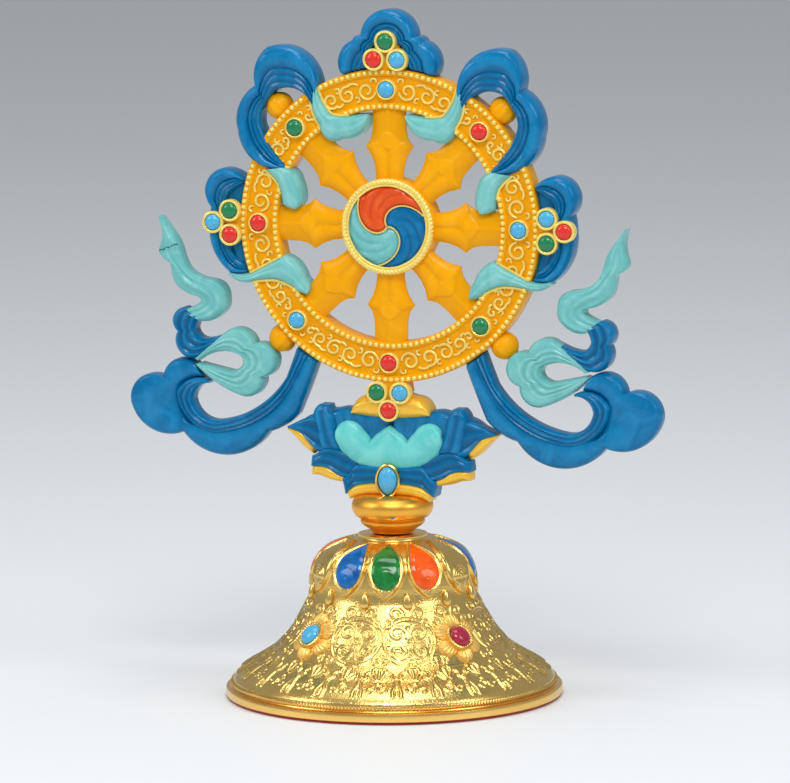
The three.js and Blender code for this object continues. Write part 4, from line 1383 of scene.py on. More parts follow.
def build_lotus_stone(sizes, materials):
    """A pointed oval stone in a plain gold setting at the foot of the lotus."""
    t = np.linspace(0, 2 * np.pi, 64, endpoint=False)

    def oval(grow):
        low = np.clip(-np.sin(t), 0, 1)
        x = (3.0 + grow) * np.cos(t) * (1 - 0.16 * low**2)
        z = -76.2 + (4.1 * (1 + 0.1 * low**2) + grow) * np.sin(t)
        return x, z

    def stack(levels):
        return np.stack([panel_point(*oval(grow), proud) for grow, proud in levels])

    seat = 2.2
    setting = Clay()
    setting.add(*skin(stack([
        (0.7, -3.0), (1.0, -1.0), (0.98, seat + 0.5), (0.85, seat + 0.95), (0.55, seat + 1.15),
        (0.25, seat + 1.0), (0.12, seat + 0.6), (0.1, seat),
    ])))
    setting.piece("lotus_stone_setting", [materials["turned"]])
    stone = Clay()
    stone.add(*skin(stack([
        (0, seat + 0.05), (0.02, seat + 0.5), (-0.15, seat + 1.0), (-0.5, seat + 1.45), (-1.0, seat + 1.8),
        (-1.6, seat + 2.05), (-2.3, seat + 2.2), (-2.8, seat + 2.25),
    ])))
    stone.piece("lotus_stone_cabochon", [materials["turquoise"]], "turquoise_stone", ("lotus_stone",))


# Bell


BELL_CURVE = [
    (10.35, 49.15), (10.45, 48.3), (11.0, 47.95), (12.6, 47.6), (16.0, 46.5), (19.2, 45.0), (21.2, 43.4),
    (22.6, 41.2), (23.4, 38.7), (23.8, 36.2), (24.05, 33.6), (24.7, 31.2), (26.1, 28.7), (27.4, 26.2),
    (28.9, 23.5), (30.4, 21.0), (32.5, 18.2), (36.3, 14.4), (40.4, 11.6), (44.1, 9.5), (46.7, 7.7),
    (48.2, 6.1), (48.6, 5.0),
]
CROWN_END = 31.2
BORDER_TOP = 14.4
PETAL_TOP = 47.75
PETAL_TIP = 32.6


def smooth_curve(points, pitch):
    """A smooth line through the points, cut into steps of about the pitch: rows of radius, height."""
    points = np.asarray(points, float)
    padded = np.concatenate([[2 * points[0] - points[1]], points, [2 * points[-1] - points[-2]]])
    fine = []
    for i in range(1, len(padded) - 2):
        a, b, c, d = padded[i - 1 : i + 3]
        t = np.linspace(0, 1, 24, endpoint=False)[:, None]
        bend = 2 * b + (c - a) * t + (2 * a - 5 * b + 4 * c - d) * t**2 + (3 * b - a - 3 * c + d) * t**3
        fine.append(0.5 * bend)
    fine = np.concatenate([*fine, [points[-1]]])
    length = np.concatenate([[0], np.cumsum(np.linalg.norm(np.diff(fine, axis=0), axis=1))])
    steps = max(2, round(length[-1] / pitch))
    at = np.linspace(0, length[-1], steps + 1)
    return np.stack([np.interp(at, length, fine[:, 0]), np.interp(at, length, fine[:, 1])], axis=1), at


class BellWall:
    """The bell's outside: turns a place on it into a point."""

    def __init__(self, pitch):
        self.curve, self.down = smooth_curve(BELL_CURVE, pitch)
        tangent = np.gradient(self.curve, axis=0)
        tangent /= np.linalg.norm(tangent, axis=1)[:, None]
        self.normals = np.stack([-tangent[:, 1], tangent[:, 0]], axis=1)

    def down_at(self, height):
        """The length down the wall at a height."""
        return float(np.interp(height, self.curve[::-1, 1], self.down[::-1]))

    def radius(self, at):
        return np.interp(at, self.down, self.curve[:, 0])

    def point(self, degrees, at, lift):
        """Points at a turn in degrees, a length down the wall and a lift off it."""
        degrees, at, lift = np.broadcast_arrays(degrees, at, lift)
        out, up = (np.interp(at, self.down, self.normals[:, i]) for i in (0, 1))
        reach = self.radius(at) + out * lift
        height = np.interp(at, self.down, self.curve[:, 1]) + up * lift
        t = np.radians(degrees)
        return np.stack([reach * np.sin(t), -reach * np.cos(t), height], axis=-1)


class Chasing:
    """Relief worked on a quarter of the bell, as heights over a grid of turn and length down the wall."""

    def __init__(self, degrees, down, radius):
        self.degrees = degrees
        self.down = down
        self.radius = radius
        self.height = np.zeros((len(down), len(degrees)))

    def spot(self, turn, at, x, y):
        """Millimetres right and up from a centre, as turn and length down the wall."""
        r = np.interp(at - y, self.down, self.radius)
        return turn + np.degrees(x / r), at - y

    def near(self, turn, at, reach):
        """The rows and columns within reach of a line's points, and their distances to it."""
        r_low = np.interp(at.min(), self.down, self.radius)
        margin = np.degrees(reach / r_low) + 0.5
        columns = np.where((self.degrees > turn.min() - margin) & (self.degrees < turn.max() + margin))[0]
        rows = np.where((self.down > at.min() - reach) & (self.down < at.max() + reach))[0]
        if not len(columns) or not len(rows):
            return None
        across = np.radians(self.degrees[columns][None, :, None] - turn) * self.radius[rows][:, None, None]
        along = self.down[rows][:, None, None] - at
        distance = np.sqrt(across**2 + along**2)
        return np.ix_(rows, columns), distance.min(axis=2), distance.argmin(axis=2)

    def line(self, turn, at, half_width, height):
        """A round raised line."""
        half_width = np.broadcast_to(half_width, turn.shape)
        found = self.near(turn, at, half_width.max() + 0.3)
        if found is None:
            return
        cells, distance, which = found
        rise = height * np.sqrt(np.clip(1 - (distance / half_width[which]) ** 2, 0, 1))
        self.height[cells] = np.maximum(self.height[cells], rise)

    def strap(self, turn, at, half_width, height):
        """A flat polished strap with a thin raised edge."""
        half_width = np.broadcast_to(half_width, turn.shape)
        found = self.near(turn, at, half_width.max() + 0.5)
        if found is None:
            return
        cells, distance, which = found
        width = half_width[which]
        rise = height * blend(width - distance, 0, 0.35)
        rise = rise + 0.16 * np.exp(-(((distance - width + 0.3) / 0.22) ** 2)) * (distance < width + 0.1)
        self.height[cells] = np.maximum(self.height[cells], rise)

    def scroll(self, turn, at, centre, radius, start, sweep, shrink, width, height=0.26, hand=1):
        """A strap that curls inwards and narrows."""
        points = curl((0, 0), radius, start, sweep, shrink, 64)
        x, y = hand * (points[:, 0] + centre[0]), points[:, 1] + centre[1]
        degrees, down = self.spot(turn, at, x, y)
        taper = width * np.linspace(1.0, 0.5, 64)
        self.strap(degrees, down, taper, height)


def chase_medallion(work, turn, at):
    """A round field of scrollwork inside a double line."""
    t = np.linspace(0, 2 * np.pi, 220)
    for radius, width, height in ((8.2, 0.42, 0.34), (7.2, 0.26, 0.2)):
        work.line(*work.spot(turn, at, radius * np.cos(t), radius * np.sin(t)), width, height)
    for hand in (1, -1):
        work.scroll(turn, at, (3.2, 2.8), 2.9, 200, -400, 0.25, 0.75, hand=hand)
        work.scroll(turn, at, (3.3, -3.0), 3.0, 150, 400, 0.25, 0.8, hand=hand)
    work.scroll(turn, at, (0.2, 0.4), 1.4, 270, 380, 0.2, 0.5)
    for x, y in ((0, 5.4), (0, -5.4), (6.0, 0), (-6.0, 0)):
        leaf = np.linspace(-0.7, 0.7, 10)
        work.line(*work.spot(turn, at, x + leaf * (y != 0), y + leaf * (x != 0)), 0.55, 0.3)


def chase_lappet(work, turn, at):
    """One cloud-headed lappet of the low border, standing point up; at is the middle of its head."""
    half = [
        (0, 3.3), (1.1, 3.0), (1.8, 2.1), (1.8, 1.2), (2.7, 1.3), (3.6, 0.6), (3.9, -0.5), (3.7, -1.3),
        (4.6, -2.0), (5.1, -3.3), (5.0, -5.5), (4.7, -7.5), (4.9, -9.6),
    ]
    points, _ = smooth_curve(half, 0.2)
    for hand in (1, -1):
        degrees, down = work.spot(turn, at, hand * points[:, 0], points[:, 1])
        work.line(degrees, down, 0.5, 0.46)
        work.scroll(turn, at, (1.9, -6.4), 1.75, 110, 400, 0.25, 0.5, hand=hand)
    for lean, far in ((-42, 4.2), (-21, 4.8), (0, 5.4), (21, 4.8), (42, 4.2)):
        t = math.radians(90 + lean)
        reach = np.linspace(1.4, far, 16)
        degrees, down = work.spot(turn, at, reach * np.cos(t), reach * np.sin(t) - 3.4)
        work.line(degrees, down, np.linspace(0.25, 0.45, 16), 0.28)
    degrees, down = work.spot(turn, at, np.array([0.0]), np.array([-3.6]))
    work.line(degrees, down, 0.85, 0.45)


def chase_gap(work, turn, at):
    """The narrow tongue between two lappets."""
    y = np.linspace(-2.4, -8.8, 30)
    work.line(*work.spot(turn, at, 0 * y, y), np.linspace(0.35, 0.6, 30), 0.3)
    work.line(*work.spot(turn, at, np.array([0.0]), np.array([-1.2])), 0.65, 0.4)


def chase_quarter(work, upper, middle, head):
    """The pattern of a quarter of the wall; the rosette's place is in its middle."""
    for turn in (15, 75):
        chase_medallion(work, turn, middle)
    for turn in (15, 45, 75):
        for hand in (1, -1):
            work.scroll(turn, upper, (3.2, 0.2), 2.1, 200, -420, 0.25, 0.6, hand=hand)
    for turn in (0, 30, 60, 90):
        for hand in (1, -1):
            work.scroll(turn, middle, (1.6, 6.2), 1.4, 250, 380, 0.3, 0.5, hand=hand)
            work.scroll(turn, middle, (1.5, -6.6), 1.3, 110, -380, 0.3, 0.5, hand=hand)
    for i in range(7):
        chase_lappet(work, 15 * i, head)
    for i in range(6):
        chase_gap(work, 15 * i + 7.5, head)


def petal_swell(share):
    """Height of a petal's body, which grows towards its tip."""
    return 0.35 + 0.85 * blend(share, 0.05, 0.95)


def petal_arches(aside, share, length):
    """Heights of the arches in the low half of a petal, at places given across and along it."""
    reach = np.hypot(aside, (0.74 - share) * length)
    rise = 0.3 * np.exp(-((reach / 0.5) ** 2))
    for size in (1.3, 2.1, 2.9):
        rise = np.maximum(rise, 0.26 * np.exp(-(((reach - size) / 0.28) ** 2)) * (share < 0.76))
    return rise


def crown_relief(wall, degrees, at):
    """Heights of the petals and their borders, with each enamelled petal's cell sunk."""
    top, tip = wall.down_at(PETAL_TOP), wall.down_at(PETAL_TIP)
    turn = (degrees - PETAL_TURN + 15) % 30 - 15
    gilt = np.round((degrees - PETAL_TURN) / 30) % 4 == 2
    a = np.abs(np.radians(turn) * wall.radius(at))
    p = (at - top) / (tip - top) + 0 * a
    cell = petal_half_width(p, 0.0)
    inside = petal_half_width(p, 1.25) - a
    body = petal_swell(p) * blend(inside, -0.1, 0.75) * (p > -0.01)
    ridge = 0.4 * np.exp(-(((a - cell - 0.5) / 0.45) ** 2)) * (inside > 0) * blend(p, 0.0, 0.12)
    within = blend(cell - a, 0.0, 0.5) * (p > 0.02) * (p < 0.93)
    gilded = within * (0.3 + petal_arches(a, p, tip - top) * 1.4)
    return np.maximum(0, body + ridge + np.where(gilt, gilded, -0.3 * within))


def add_drops(clay, wall):
    """Twelve long drops that hang between the tips of the petals."""
    unit, faces = ball(3)
    side, lift, rise = unit.T
    at = wall.down_at(32.4)
    turn = np.degrees(1.35 * (1 - 0.35 * rise) * side / wall.radius(at))
    for i in range(12):
        degrees = PETAL_TURN + 15 + 30 * i + turn
        clay.add(wall.point(degrees, at - 2.6 * rise, 0.35 + 1.1 * lift), faces)


def add_rosette(clay, wall, turn, centre):
    """Six ribbed shells round a stone's seat, laid on the wall centre millimetres down it."""
    shell, reach_out = 2.75, 5.3
    angle = np.linspace(0, 2 * np.pi, 288, endpoint=False)[:, None]
    off = (angle + np.pi / 6) % (np.pi / 3) - np.pi / 6
    edge = reach_out * np.cos(off) + np.sqrt(shell**2 - (reach_out * np.sin(off)) ** 2)
    share = np.concatenate([[0.35], np.linspace(0.35, 1, 30), [1]])[None, :]
    reach = share * edge
    spread = np.hypot(reach * np.cos(off) - reach_out, reach * np.sin(off))
    body = 1.35 * np.sqrt(np.clip(1 - (spread / shell) ** 2, 0, 1))
    ribs = 0.13 * np.cos(42 * off) * blend(body, 0.1, 0.7)
    lift = np.maximum(body + ribs, 1 - blend(reach, 3.6, 5.0))
    lift[:, [0, -1]] = -0.6
    at = centre - reach * np.sin(angle + np.pi / 6)
    degrees = turn + np.degrees(reach * np.cos(angle + np.pi / 6) / wall.radius(at))
    clay.add(wall.point(degrees, at, lift).reshape(-1, 3), grid_faces(*lift.shape, True, True))


def petal_half_width(p, grow):
    """Half width of a petal's cell in millimetres at the share p of its length, with a border if grow."""
    end = 0.87 + 0.13 * (grow > 0)
    start_width = 0.3 + 0.35 * grow
    full = 4.65 + grow * 0.75
    rising = start_width + (full - start_width) * np.sin(np.clip(p / 0.62, 0, 1) * np.pi / 2) ** 1.3
    reach = np.clip((p - 0.62) / (end - 0.62), 0, 1)
    closing = full * np.sqrt(np.clip(1 - reach**2, 0, 1)) if grow == 0 else full * (1 - reach**2)
    return np.where(p < 0.62, rising, closing) * (p > 0) * (p < end)


def add_bell_ring(clay, points, ground, core):
    """A ring of the bell's surface, closed inside by a plain wall of the core's radius."""
    inner = points[[-1, 0]].copy()
    inner[..., :2] *= core / np.linalg.norm(inner[..., :2], axis=-1, keepdims=True)
    loops = np.concatenate([points, inner], axis=0).transpose(1, 0, 2)
    columns, rows = loops.shape[:2]
    marks = np.concatenate([ground, np.zeros((2, columns))], axis=0).T
    clay.add(loops.reshape(-1, 3), grid_faces(columns, rows, True, True), ground=marks.reshape(-1))


def build_bell(sizes, materials):
    wall = BellWall(sizes.bell_row_pitch / MM)
    height, down = wall.curve[:, 1], wall.down
    crown_row, border_row = (int(np.argmin(np.abs(height - z))) for z in (CROWN_END, BORDER_TOP))
    quarter = sizes.bell_columns // 4

    columns = quarter * 3
    degrees = (QUARTER_TURN + np.arange(columns) * 360 / columns)[None, :]
    at = down[: crown_row + 1, None]
    rise = crown_relief(wall, degrees, at)
    rise = rise * blend(height[: crown_row + 1, None], CROWN_END, CROWN_END + 0.8)
    ground = (rise < 0.05) * (height[: crown_row + 1, None] < 36) * 1.0
    crown = Clay()
    add_bell_ring(crown, wall.point(degrees, at, rise), ground, 8)
    add_drops(crown, wall)
    crown.piece("bell_crown", [materials["chased"]], "gilt_bell", ("bell_base",), sharp=60)

    columns = quarter * 4
    degrees = (QUARTER_TURN + np.arange(columns) * 360 / columns)[None, :]
    at = down[crown_row:]
    work = Chasing(np.arange(quarter) * 90 / quarter, at, wall.radius(at))
    chase_quarter(work, *(wall.down_at(z) for z in (28.6, BELL_STONE_HEIGHT, 12.6)))
    relief = np.tile(work.height, (1, 4))
    relief[0] = 0
    points = wall.point(degrees, at[:, None], relief)
    split = border_row - crown_row
    for name, part in (("bell_wall", slice(0, split + 1)), ("bell_border", slice(split, len(points)))):
        clay = Clay()
        add_bell_ring(clay, points[part], (relief[part] < 0.04) * 1.0, 20)
        clay.piece(name, [materials["chased"]], "gilt_bell", ("bell_base",), sharp=60)

    foot = Clay()
    profile = [
        (0, 0.8), (50.2, 0.8), (50.55, 0.95), (50.7, 1.3), (50.7, 2.9), (50.6, 3.2), (50.3, 3.35),
        (49.3, 3.4), (49.1, 3.55), (49.0, 3.9), (48.7, 4.15), (48.3, 5.1), (47, 5.2), (0, 5.2),
    ]
    foot.add(*turned(profile, 240))
    for i, (radius, height, thick, twists) in enumerate([(48.75, 4.75, 0.5, 300), (49.15, 3.75, 0.22, 0)]):
        segments, sides = (1500, 7) if twists else (240, 7)
        around = np.linspace(0, 2 * np.pi, segments, endpoint=False)[:, None]
        section = np.linspace(0, 2 * np.pi, sides, endpoint=False)[None, :]
        swell = thick * (1 + 0.28 * np.sin(twists * around + 2 * section) * (twists > 0))
        reach = radius + swell * np.cos(section)
        rise = height + swell * np.sin(section)
        ring = np.stack([reach * np.cos(around), reach * np.sin(around), rise], axis=-1)
        foot.add(ring.reshape(-1, 3), grid_faces(segments, sides, True, True))
    collar = [(0, 49.2), (9.6, 49.2), (10.15, 49.1), (10.35, 48.9), (10.3, 48.5), (10.0, 48.2), (0, 48.2)]
    foot.add(*turned(collar[::-1], 96))
    foot.piece("bell_foot_and_collar", [materials["turned"]], "gilt_bell", ("bell_base",), sharp=30)

    build_enamel(wall, materials)


def build_enamel(wall, materials):
    """Glassy fillings of the coloured petals; every fourth petal is left gold."""
    top, tip = wall.down_at(PETAL_TOP), wall.down_at(PETAL_TIP)
    share = np.concatenate(
        [np.linspace(0.015, 0.06, 6), np.linspace(0.09, 0.8, 40), np.linspace(0.815, 0.868, 12)]
    )[:, None]
    at = top + share * (tip - top)
    across = np.linspace(-1, 1, 27)[None, :]
    half = petal_half_width(share, 0.0)
    a = across * half
    edge_gap = (1 - np.abs(across)) * half
    ends = np.minimum(share - 0.015, 0.87 - share) * (tip - top)
    puff = 0.42 * blend(np.minimum(edge_gap, ends), 0, 1.5)
    swell = petal_swell(share)
    rise = swell - 0.28 + puff + 0.7 * petal_arches(a, share, tip - top)
    finishes = {0: "bell_green", 1: "bell_orange", 3: "bell_blue"}
    fillings = {finish: Clay() for finish in finishes.values()}
    for i in range(12):
        if i % 4 not in finishes:
            continue
        degrees = PETAL_TURN + 30 * i + np.degrees(a / wall.radius(at))
        upper, lower = wall.point(degrees, at, rise), wall.point(degrees, at, swell - 0.8)
        loops = np.concatenate([upper, lower[:, ::-1]], axis=1)
        fillings[finishes[i % 4]].add(*skin(loops))
    for finish, clay in fillings.items():
        clay.piece(f"{finish}_petals", [materials[finish]], "gilt_bell", ("bell_base",))


def build_bell_stones(sizes, materials):
    bezels = Clay()
    rosettes = Clay()
    wall = BellWall(sizes.bell_row_pitch / MM)
    radius = sizes.bell_stone_size / MM / 2
    lean = math.radians(BELL_STONE_LEAN)
    for i, step in enumerate((-45, 45, 135, 225)):
        t = math.radians(QUARTER_TURN + step)
        place = (
            Matrix.Rotation(t, 4, "Z")
            @ Matrix.Translation((0, -BELL_SEAT_RADIUS, BELL_STONE_HEIGHT))
            @ Matrix.Rotation(lean, 4, "X")
        )

        def set_down(points):
            spots = np.concatenate([points, np.ones((len(points), 1))], axis=1)
            return spots @ np.array(place).T[:, :3]

        add_rosette(rosettes, wall, QUARTER_TURN + step, wall.down_at(BELL_STONE_HEIGHT))
        vertices, faces = bezel_ring(radius - 0.05, radius + 0.95, -1.5, 1.9, 0.16, teeth=30, segments=120)
        bezels.add(set_down(vertices), faces)
        stone = Clay()
        vertices, faces = dome(radius, 2.6)
        stone.add(set_down(vertices + np.array([0, 0, 0.65])), faces)
        colour = "turquoise" if i % 2 == 0 else "crimson"
        node = f"bell_stone_{i + 1}"
        stone.piece(f"{node}_cabochon", [materials[colour]], STONE_SLOTS[colour], (node,))
    bezels.piece("bell_stone_bezels", [materials["turned"]], "gilt_bell", ("bell_base",))
    rosettes.piece("bell_rosettes", [materials["matt"]], "gilt_bell", ("bell_base",))


def build_felt(sizes, materials):
    profile = [(0, 0.02), (49.6, 0.02), (49.95, 0.12), (50.1, 0.4), (49.95, 0.7), (49.6, 0.78), (0, 0.78)]
    clay = Clay()
    clay.add(*turned(profile, 200))
    clay.piece("felt_sole", [materials["felt"]], "felt", ("felt_pad",))


# Stage


CAMERA_AZIMUTH = 18.9
CAMERA_ELEVATION = 7.94
CAMERA_ROLL = -0.55
CAMERA_DISTANCE = 1800.0
CAMERA_TARGET = (1.045, 91.99)
PHOTO_WIDTH = 790
FOCAL_PIXELS = 6008.0
SENSOR = 36.0


def camera_axes():
    a, e, roll = (math.radians(v) for v in (CAMERA_AZIMUTH, CAMERA_ELEVATION, CAMERA_ROLL))
    back = Vector((math.sin(a) * math.cos(e), -math.cos(a) * math.cos(e), math.sin(e)))
    right = Vector((math.cos(a), math.sin(a), 0))
    up = back.cross(right)
    side = right * math.cos(roll) + up * math.sin(roll)
    return side, up * math.cos(roll) - right * math.sin(roll), back, right


def build_camera():
    side, up, back, level = camera_axes()
    data = bpy.data.cameras.new("photo_view")
    data.sensor_width = SENSOR
    data.lens = FOCAL_PIXELS / PHOTO_WIDTH * SENSOR
    data.clip_end = 100
    camera = bpy.data.objects.new("photo_view", data)
    bpy.context.scene.collection.objects.link(camera)
    place = level * CAMERA_TARGET[0] + Vector((0, 0, CAMERA_TARGET[1])) + back * CAMERA_DISTANCE
    camera.matrix_world = Matrix.Translation(place * MM) @ Matrix((side, up, back)).transposed().to_4x4()
    bpy.context.scene.camera = camera


def add_area_light(name, place, target, size, power, colour="#FFFFFF"):
    data = bpy.data.lights.new(name, "AREA")
    data.shape = "RECTANGLE"
    data.size, data.size_y = size
    data.energy = power
    data.color = linear(colour)
    lamp = bpy.data.objects.new(name, data)
    bpy.context.scene.collection.objects.link(lamp)
    way = Vector(target) - Vector(place)
    lamp.matrix_world = Matrix.Translation(place) @ way.to_track_quat("-Z", "Y").to_matrix().to_4x4()


def build_stage():
    build_camera()
    material, tree, _ = new_material("pale_studio_sweep")
    shader = add_node(
        tree, "ShaderNodeBsdfPrincipled", {"Base Color": rgba(linear("#E9EBED")), "Roughness": 0.55}
    )
    close_material(tree, shader)
    mesh = bpy.data.meshes.new("studio_floor")
    half = 9.0
    corners = [(-half, -half, 0), (half, -half, 0), (half, half, 0), (-half, half, 0)]
    mesh.from_pydata(corners, [], [(0, 1, 2, 3)])
    mesh.materials.append(material)
    floor = bpy.data.objects.new("studio_floor", mesh)
    bpy.context.scene.collection.objects.link(floor)

    world = bpy.data.worlds.new("studio_air")
    world.use_nodes = True
    world.node_tree.nodes["Background"].inputs["Color"].default_value = rgba(linear("#DDE1E6"))
    world.node_tree.nodes["Background"].inputs["Strength"].default_value = 0.5
    bpy.context.scene.world = world

    middle = (0, 0, 0.1)
    add_area_light("backdrop_softbox", (-0.2, 0.2, 2.2), (-0.2, 0.2, 0), (1.6, 1.6), 6.0)
    add_area_light("overhead_softbox", (0.05, -0.02, 1.1), middle, (0.45, 0.45), 2.6)
    add_area_light("front_softbox", (0.25, -0.8, 1.0), middle, (0.55, 0.35), 6.0)
    add_area_light("left_softbox", (-1.0, -0.7, 0.85), middle, (0.5, 0.7), 4.5)
    add_area_light("right_softbox", (1.2, -0.35, 0.85), middle, (0.5, 0.7), 4.0)
    bpy.context.scene.view_settings.view_transform = "Standard"


# Add-on


def colour_property(name, description, code):
    return FloatVectorProperty(
        name=name, description=description, subtype="COLOR", size=3, min=0.0, max=1.0, default=linear(code)
    )


def length_property(name, description, millimetres):
    return FloatProperty(
        name=name,
        description=description,
        subtype="DISTANCE",
        unit="LENGTH",
        precision=5,
        min=0.1 * MM,
        default=millimetres * MM,
    )


class OrnamentColours(bpy.types.PropertyGroup):
    yellow: colour_property("Wheel yellow", "Enamel of the rim and the spokes", "#F1A500")
    blue: colour_property("Cloud blue", "Enamel of the clouds, ribbons and petals", "#006B9E")
    teal: colour_property("Ribbon turquoise", "Enamel of the tails and ribbon ends", "#6CB8B6")
    lotus_teal: colour_property("Lotus turquoise", "Enamel of the lotus bowl", "#5FC6C3")
    orange: colour_property("Whirl orange", "Enamel of one part of the hub's whirl", "#E04F14")
    lip_gold: colour_property("Petal lip gold", "Gold paint under the lotus petals", "#FFC340")
    wire_gold: colour_property("Wire gold", "Pale gold on the scrolls, beads and bezels", "#FFDC74")
    turned_gold: colour_property("Turned gold", "Plate on the foot, settings and rosettes", "#F6CA72")
    satin_gold: colour_property("Satin gold", "Plate on the neck", "#F6B648")
    chased_gold: colour_property("Chased gold", "Plate on the chased bell", "#EBC672")
    bell_blue: colour_property("Petal blue", "Fired enamel of the bell's blue petals", "#0570BE")
    bell_green: colour_property("Petal green", "Fired enamel of the bell's green petals", "#158434")
    bell_orange: colour_property("Petal orange", "Fired enamel of the bell's orange petals", "#FF6208")
    turquoise: colour_property("Turquoise", "Light blue stones", "#4FB0DC")
    coral: colour_property("Coral", "Red stones of the wheel", "#E22E22")
    green: colour_property("Green stone", "Dark green stones", "#178050")
    crimson: colour_property("Crimson", "Red stones of the bell", "#A8243C")
    felt: colour_property("Felt red", "Sole under the foot", "#A0282C")


class OrnamentSizes(bpy.types.PropertyGroup):
    bead_size: length_property("Bead size", "Width of a rim bead", 1.5)
    bead_pitch: length_property("Bead pitch", "Spacing of the rim beads", 1.84)
    stone_size: length_property("Stone size", "Width of a wheel stone", 5.0)
    bell_stone_size: length_property("Bell stone size", "Width of a bell stone", 7.0)
    bell_row_pitch: length_property("Bell row pitch", "Row spacing of the bell's mesh", 0.28)
    bell_columns: IntProperty(
        name="Bell columns", description="Columns of the bell wall's mesh", default=960, min=96
    )


class OrnamentSettings(bpy.types.PropertyGroup):
    colours: PointerProperty(type=OrnamentColours)
    sizes: PointerProperty(type=OrnamentSizes)


def build(context, maker):
    settings = context.scene.ornament
    maker(settings.sizes, Finishes(settings.colours))
    return {"FINISHED"}


class ORNAMENT_OT_stage(bpy.types.Operator):
    """Sets the camera, the floor and the studio lights"""

    bl_idname = "ornament.stage"
    bl_label = "Stage"

    def execute(self, context):
        build_stage()
        return {"FINISHED"}


class ORNAMENT_OT_rim(bpy.types.Operator):
    """Makes the rim with its beads and scroll wires"""

    bl_idname = "ornament.rim"
    bl_label = "Rim"

    def execute(self, context):
        return build(context, build_rim)


class ORNAMENT_OT_spokes(bpy.types.Operator):
    """Makes the eight leaf-shaped spokes"""

    bl_idname = "ornament.spokes"
    bl_label = "Spokes"

    def execute(self, context):
        return build(context, build_spokes)


class ORNAMENT_OT_hub(bpy.types.Operator):
    """Makes the hub with its rope and three-part whirl"""

    bl_idname = "ornament.hub"
    bl_label = "Hub"

    def execute(self, context):
        return build(context, build_hub)


class ORNAMENT_OT_knobs(bpy.types.Operator):
    """Makes the four bud-shaped knobs"""

    bl_idname = "ornament.knobs"
    bl_label = "Bud knobs"

    def execute(self, context):
        return build(context, build_knobs)


class ORNAMENT_OT_clouds(bpy.types.Operator):
    """Makes the five blue clouds round the rim"""

    bl_idname = "ornament.clouds"
    bl_label = "Clouds"

    def execute(self, context):
        return build(context, build_clouds)


class ORNAMENT_OT_tails(bpy.types.Operator):
    """Makes the six turquoise tails that cross the rim"""

    bl_idname = "ornament.tails"
    bl_label = "Tails"

    def execute(self, context):
        return build(context, build_tails)


class ORNAMENT_OT_ribbons(bpy.types.Operator):
    """Makes the blue and turquoise ribbons at both sides"""

    bl_idname = "ornament.ribbons"
    bl_label = "Ribbons"

    def execute(self, context):
        return build(context, build_ribbons)


class ORNAMENT_OT_lotus(bpy.types.Operator):
    """Makes the lotus with its gold lips and the dome in it"""

    bl_idname = "ornament.lotus"
    bl_label = "Lotus"

    def execute(self, context):
        return build(context, build_lotus)


class ORNAMENT_OT_neck(bpy.types.Operator):
    """Makes the turned neck under the lotus"""

    bl_idname = "ornament.neck"
    bl_label = "Neck"

    def execute(self, context):
        return build(context, build_neck)


class ORNAMENT_OT_panel_stones(bpy.types.Operator):
    """Makes the twenty round stones of the wheel and their bezels"""

    bl_idname = "ornament.panel_stones"
    bl_label = "Wheel stones"

    def execute(self, context):
        return build(context, build_panel_stones)


class ORNAMENT_OT_lotus_stone(bpy.types.Operator):
    """Makes the pointed oval stone of the lotus and its setting"""

    bl_idname = "ornament.lotus_stone"
    bl_label = "Lotus stone"

    def execute(self, context):
        return build(context, build_lotus_stone)


class ORNAMENT_OT_bell(bpy.types.Operator):
    """Makes the chased bell with its ring of petals"""

    bl_idname = "ornament.bell"
    bl_label = "Bell"

    def execute(self, context):
        return build(context, build_bell)


class ORNAMENT_OT_bell_stones(bpy.types.Operator):
    """Makes the four stones of the bell with their bezels and rosettes"""

    bl_idname = "ornament.bell_stones"
    bl_label = "Bell stones"

    def execute(self, context):
        return build(context, build_bell_stones)


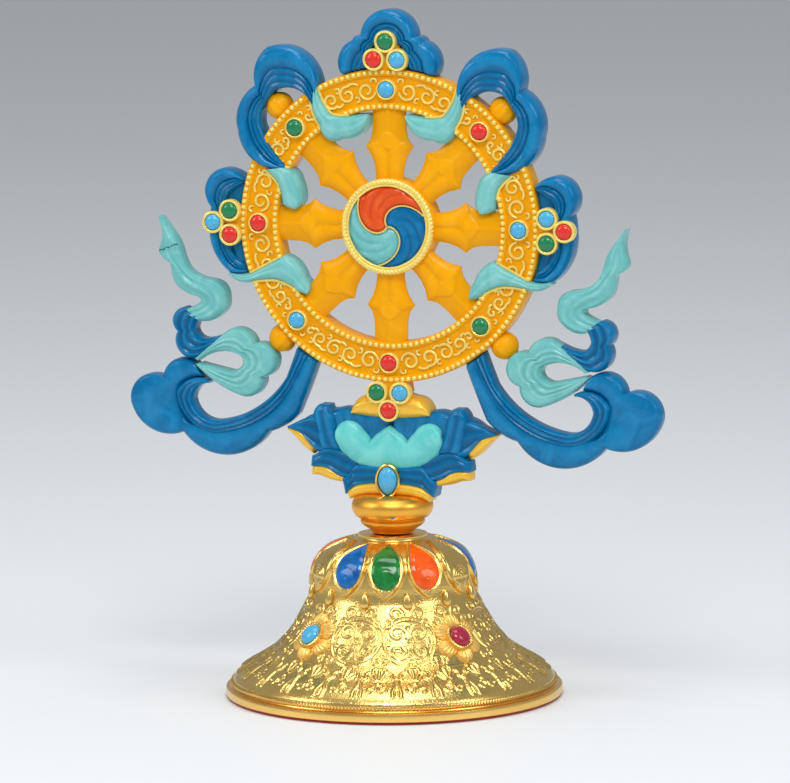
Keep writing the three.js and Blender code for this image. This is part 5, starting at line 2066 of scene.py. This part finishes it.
class ORNAMENT_OT_felt(bpy.types.Operator):
    """Makes the felt sole under the foot"""

    bl_idname = "ornament.felt"
    bl_label = "Felt sole"

    def execute(self, context):
        return build(context, build_felt)


OPERATORS = (
    ORNAMENT_OT_stage,
    ORNAMENT_OT_rim,
    ORNAMENT_OT_spokes,
    ORNAMENT_OT_hub,
    ORNAMENT_OT_knobs,
    ORNAMENT_OT_clouds,
    ORNAMENT_OT_tails,
    ORNAMENT_OT_ribbons,
    ORNAMENT_OT_lotus,
    ORNAMENT_OT_neck,
    ORNAMENT_OT_panel_stones,
    ORNAMENT_OT_lotus_stone,
    ORNAMENT_OT_bell,
    ORNAMENT_OT_bell_stones,
    ORNAMENT_OT_felt,
)


class ORNAMENT_PT_panel(bpy.types.Panel):
    """Lists the ornament's pieces"""

    bl_idname = "ORNAMENT_PT_panel"
    bl_label = "Dharma wheel"
    bl_space_type = "VIEW_3D"
    bl_region_type = "UI"
    bl_category = "Dharma wheel"

    def draw(self, context):
        for operator in OPERATORS:
            self.layout.operator(operator.bl_idname)
        for group in (context.scene.ornament.sizes, context.scene.ornament.colours):
            for key in group.__annotations__:
                self.layout.prop(group, key)


CLASSES = (OrnamentColours, OrnamentSizes, OrnamentSettings, *OPERATORS, ORNAMENT_PT_panel)


def register():
    for cls in CLASSES:
        bpy.utils.register_class(cls)
    bpy.types.Scene.ornament = PointerProperty(type=OrnamentSettings)


def unregister():
    del bpy.types.Scene.ornament
    for cls in reversed(CLASSES):
        bpy.utils.unregister_class(cls)


def main():
    register()
    bpy.ops.ornament.stage()
    bpy.ops.ornament.rim()
    bpy.ops.ornament.spokes()
    bpy.ops.ornament.hub()
    bpy.ops.ornament.knobs()
    bpy.ops.ornament.clouds()
    bpy.ops.ornament.tails()
    bpy.ops.ornament.ribbons()
    bpy.ops.ornament.lotus()
    bpy.ops.ornament.neck()
    bpy.ops.ornament.panel_stones()
    bpy.ops.ornament.lotus_stone()
    bpy.ops.ornament.bell()
    bpy.ops.ornament.bell_stones()
    bpy.ops.ornament.felt()


if __name__ == "__main__":
    main()
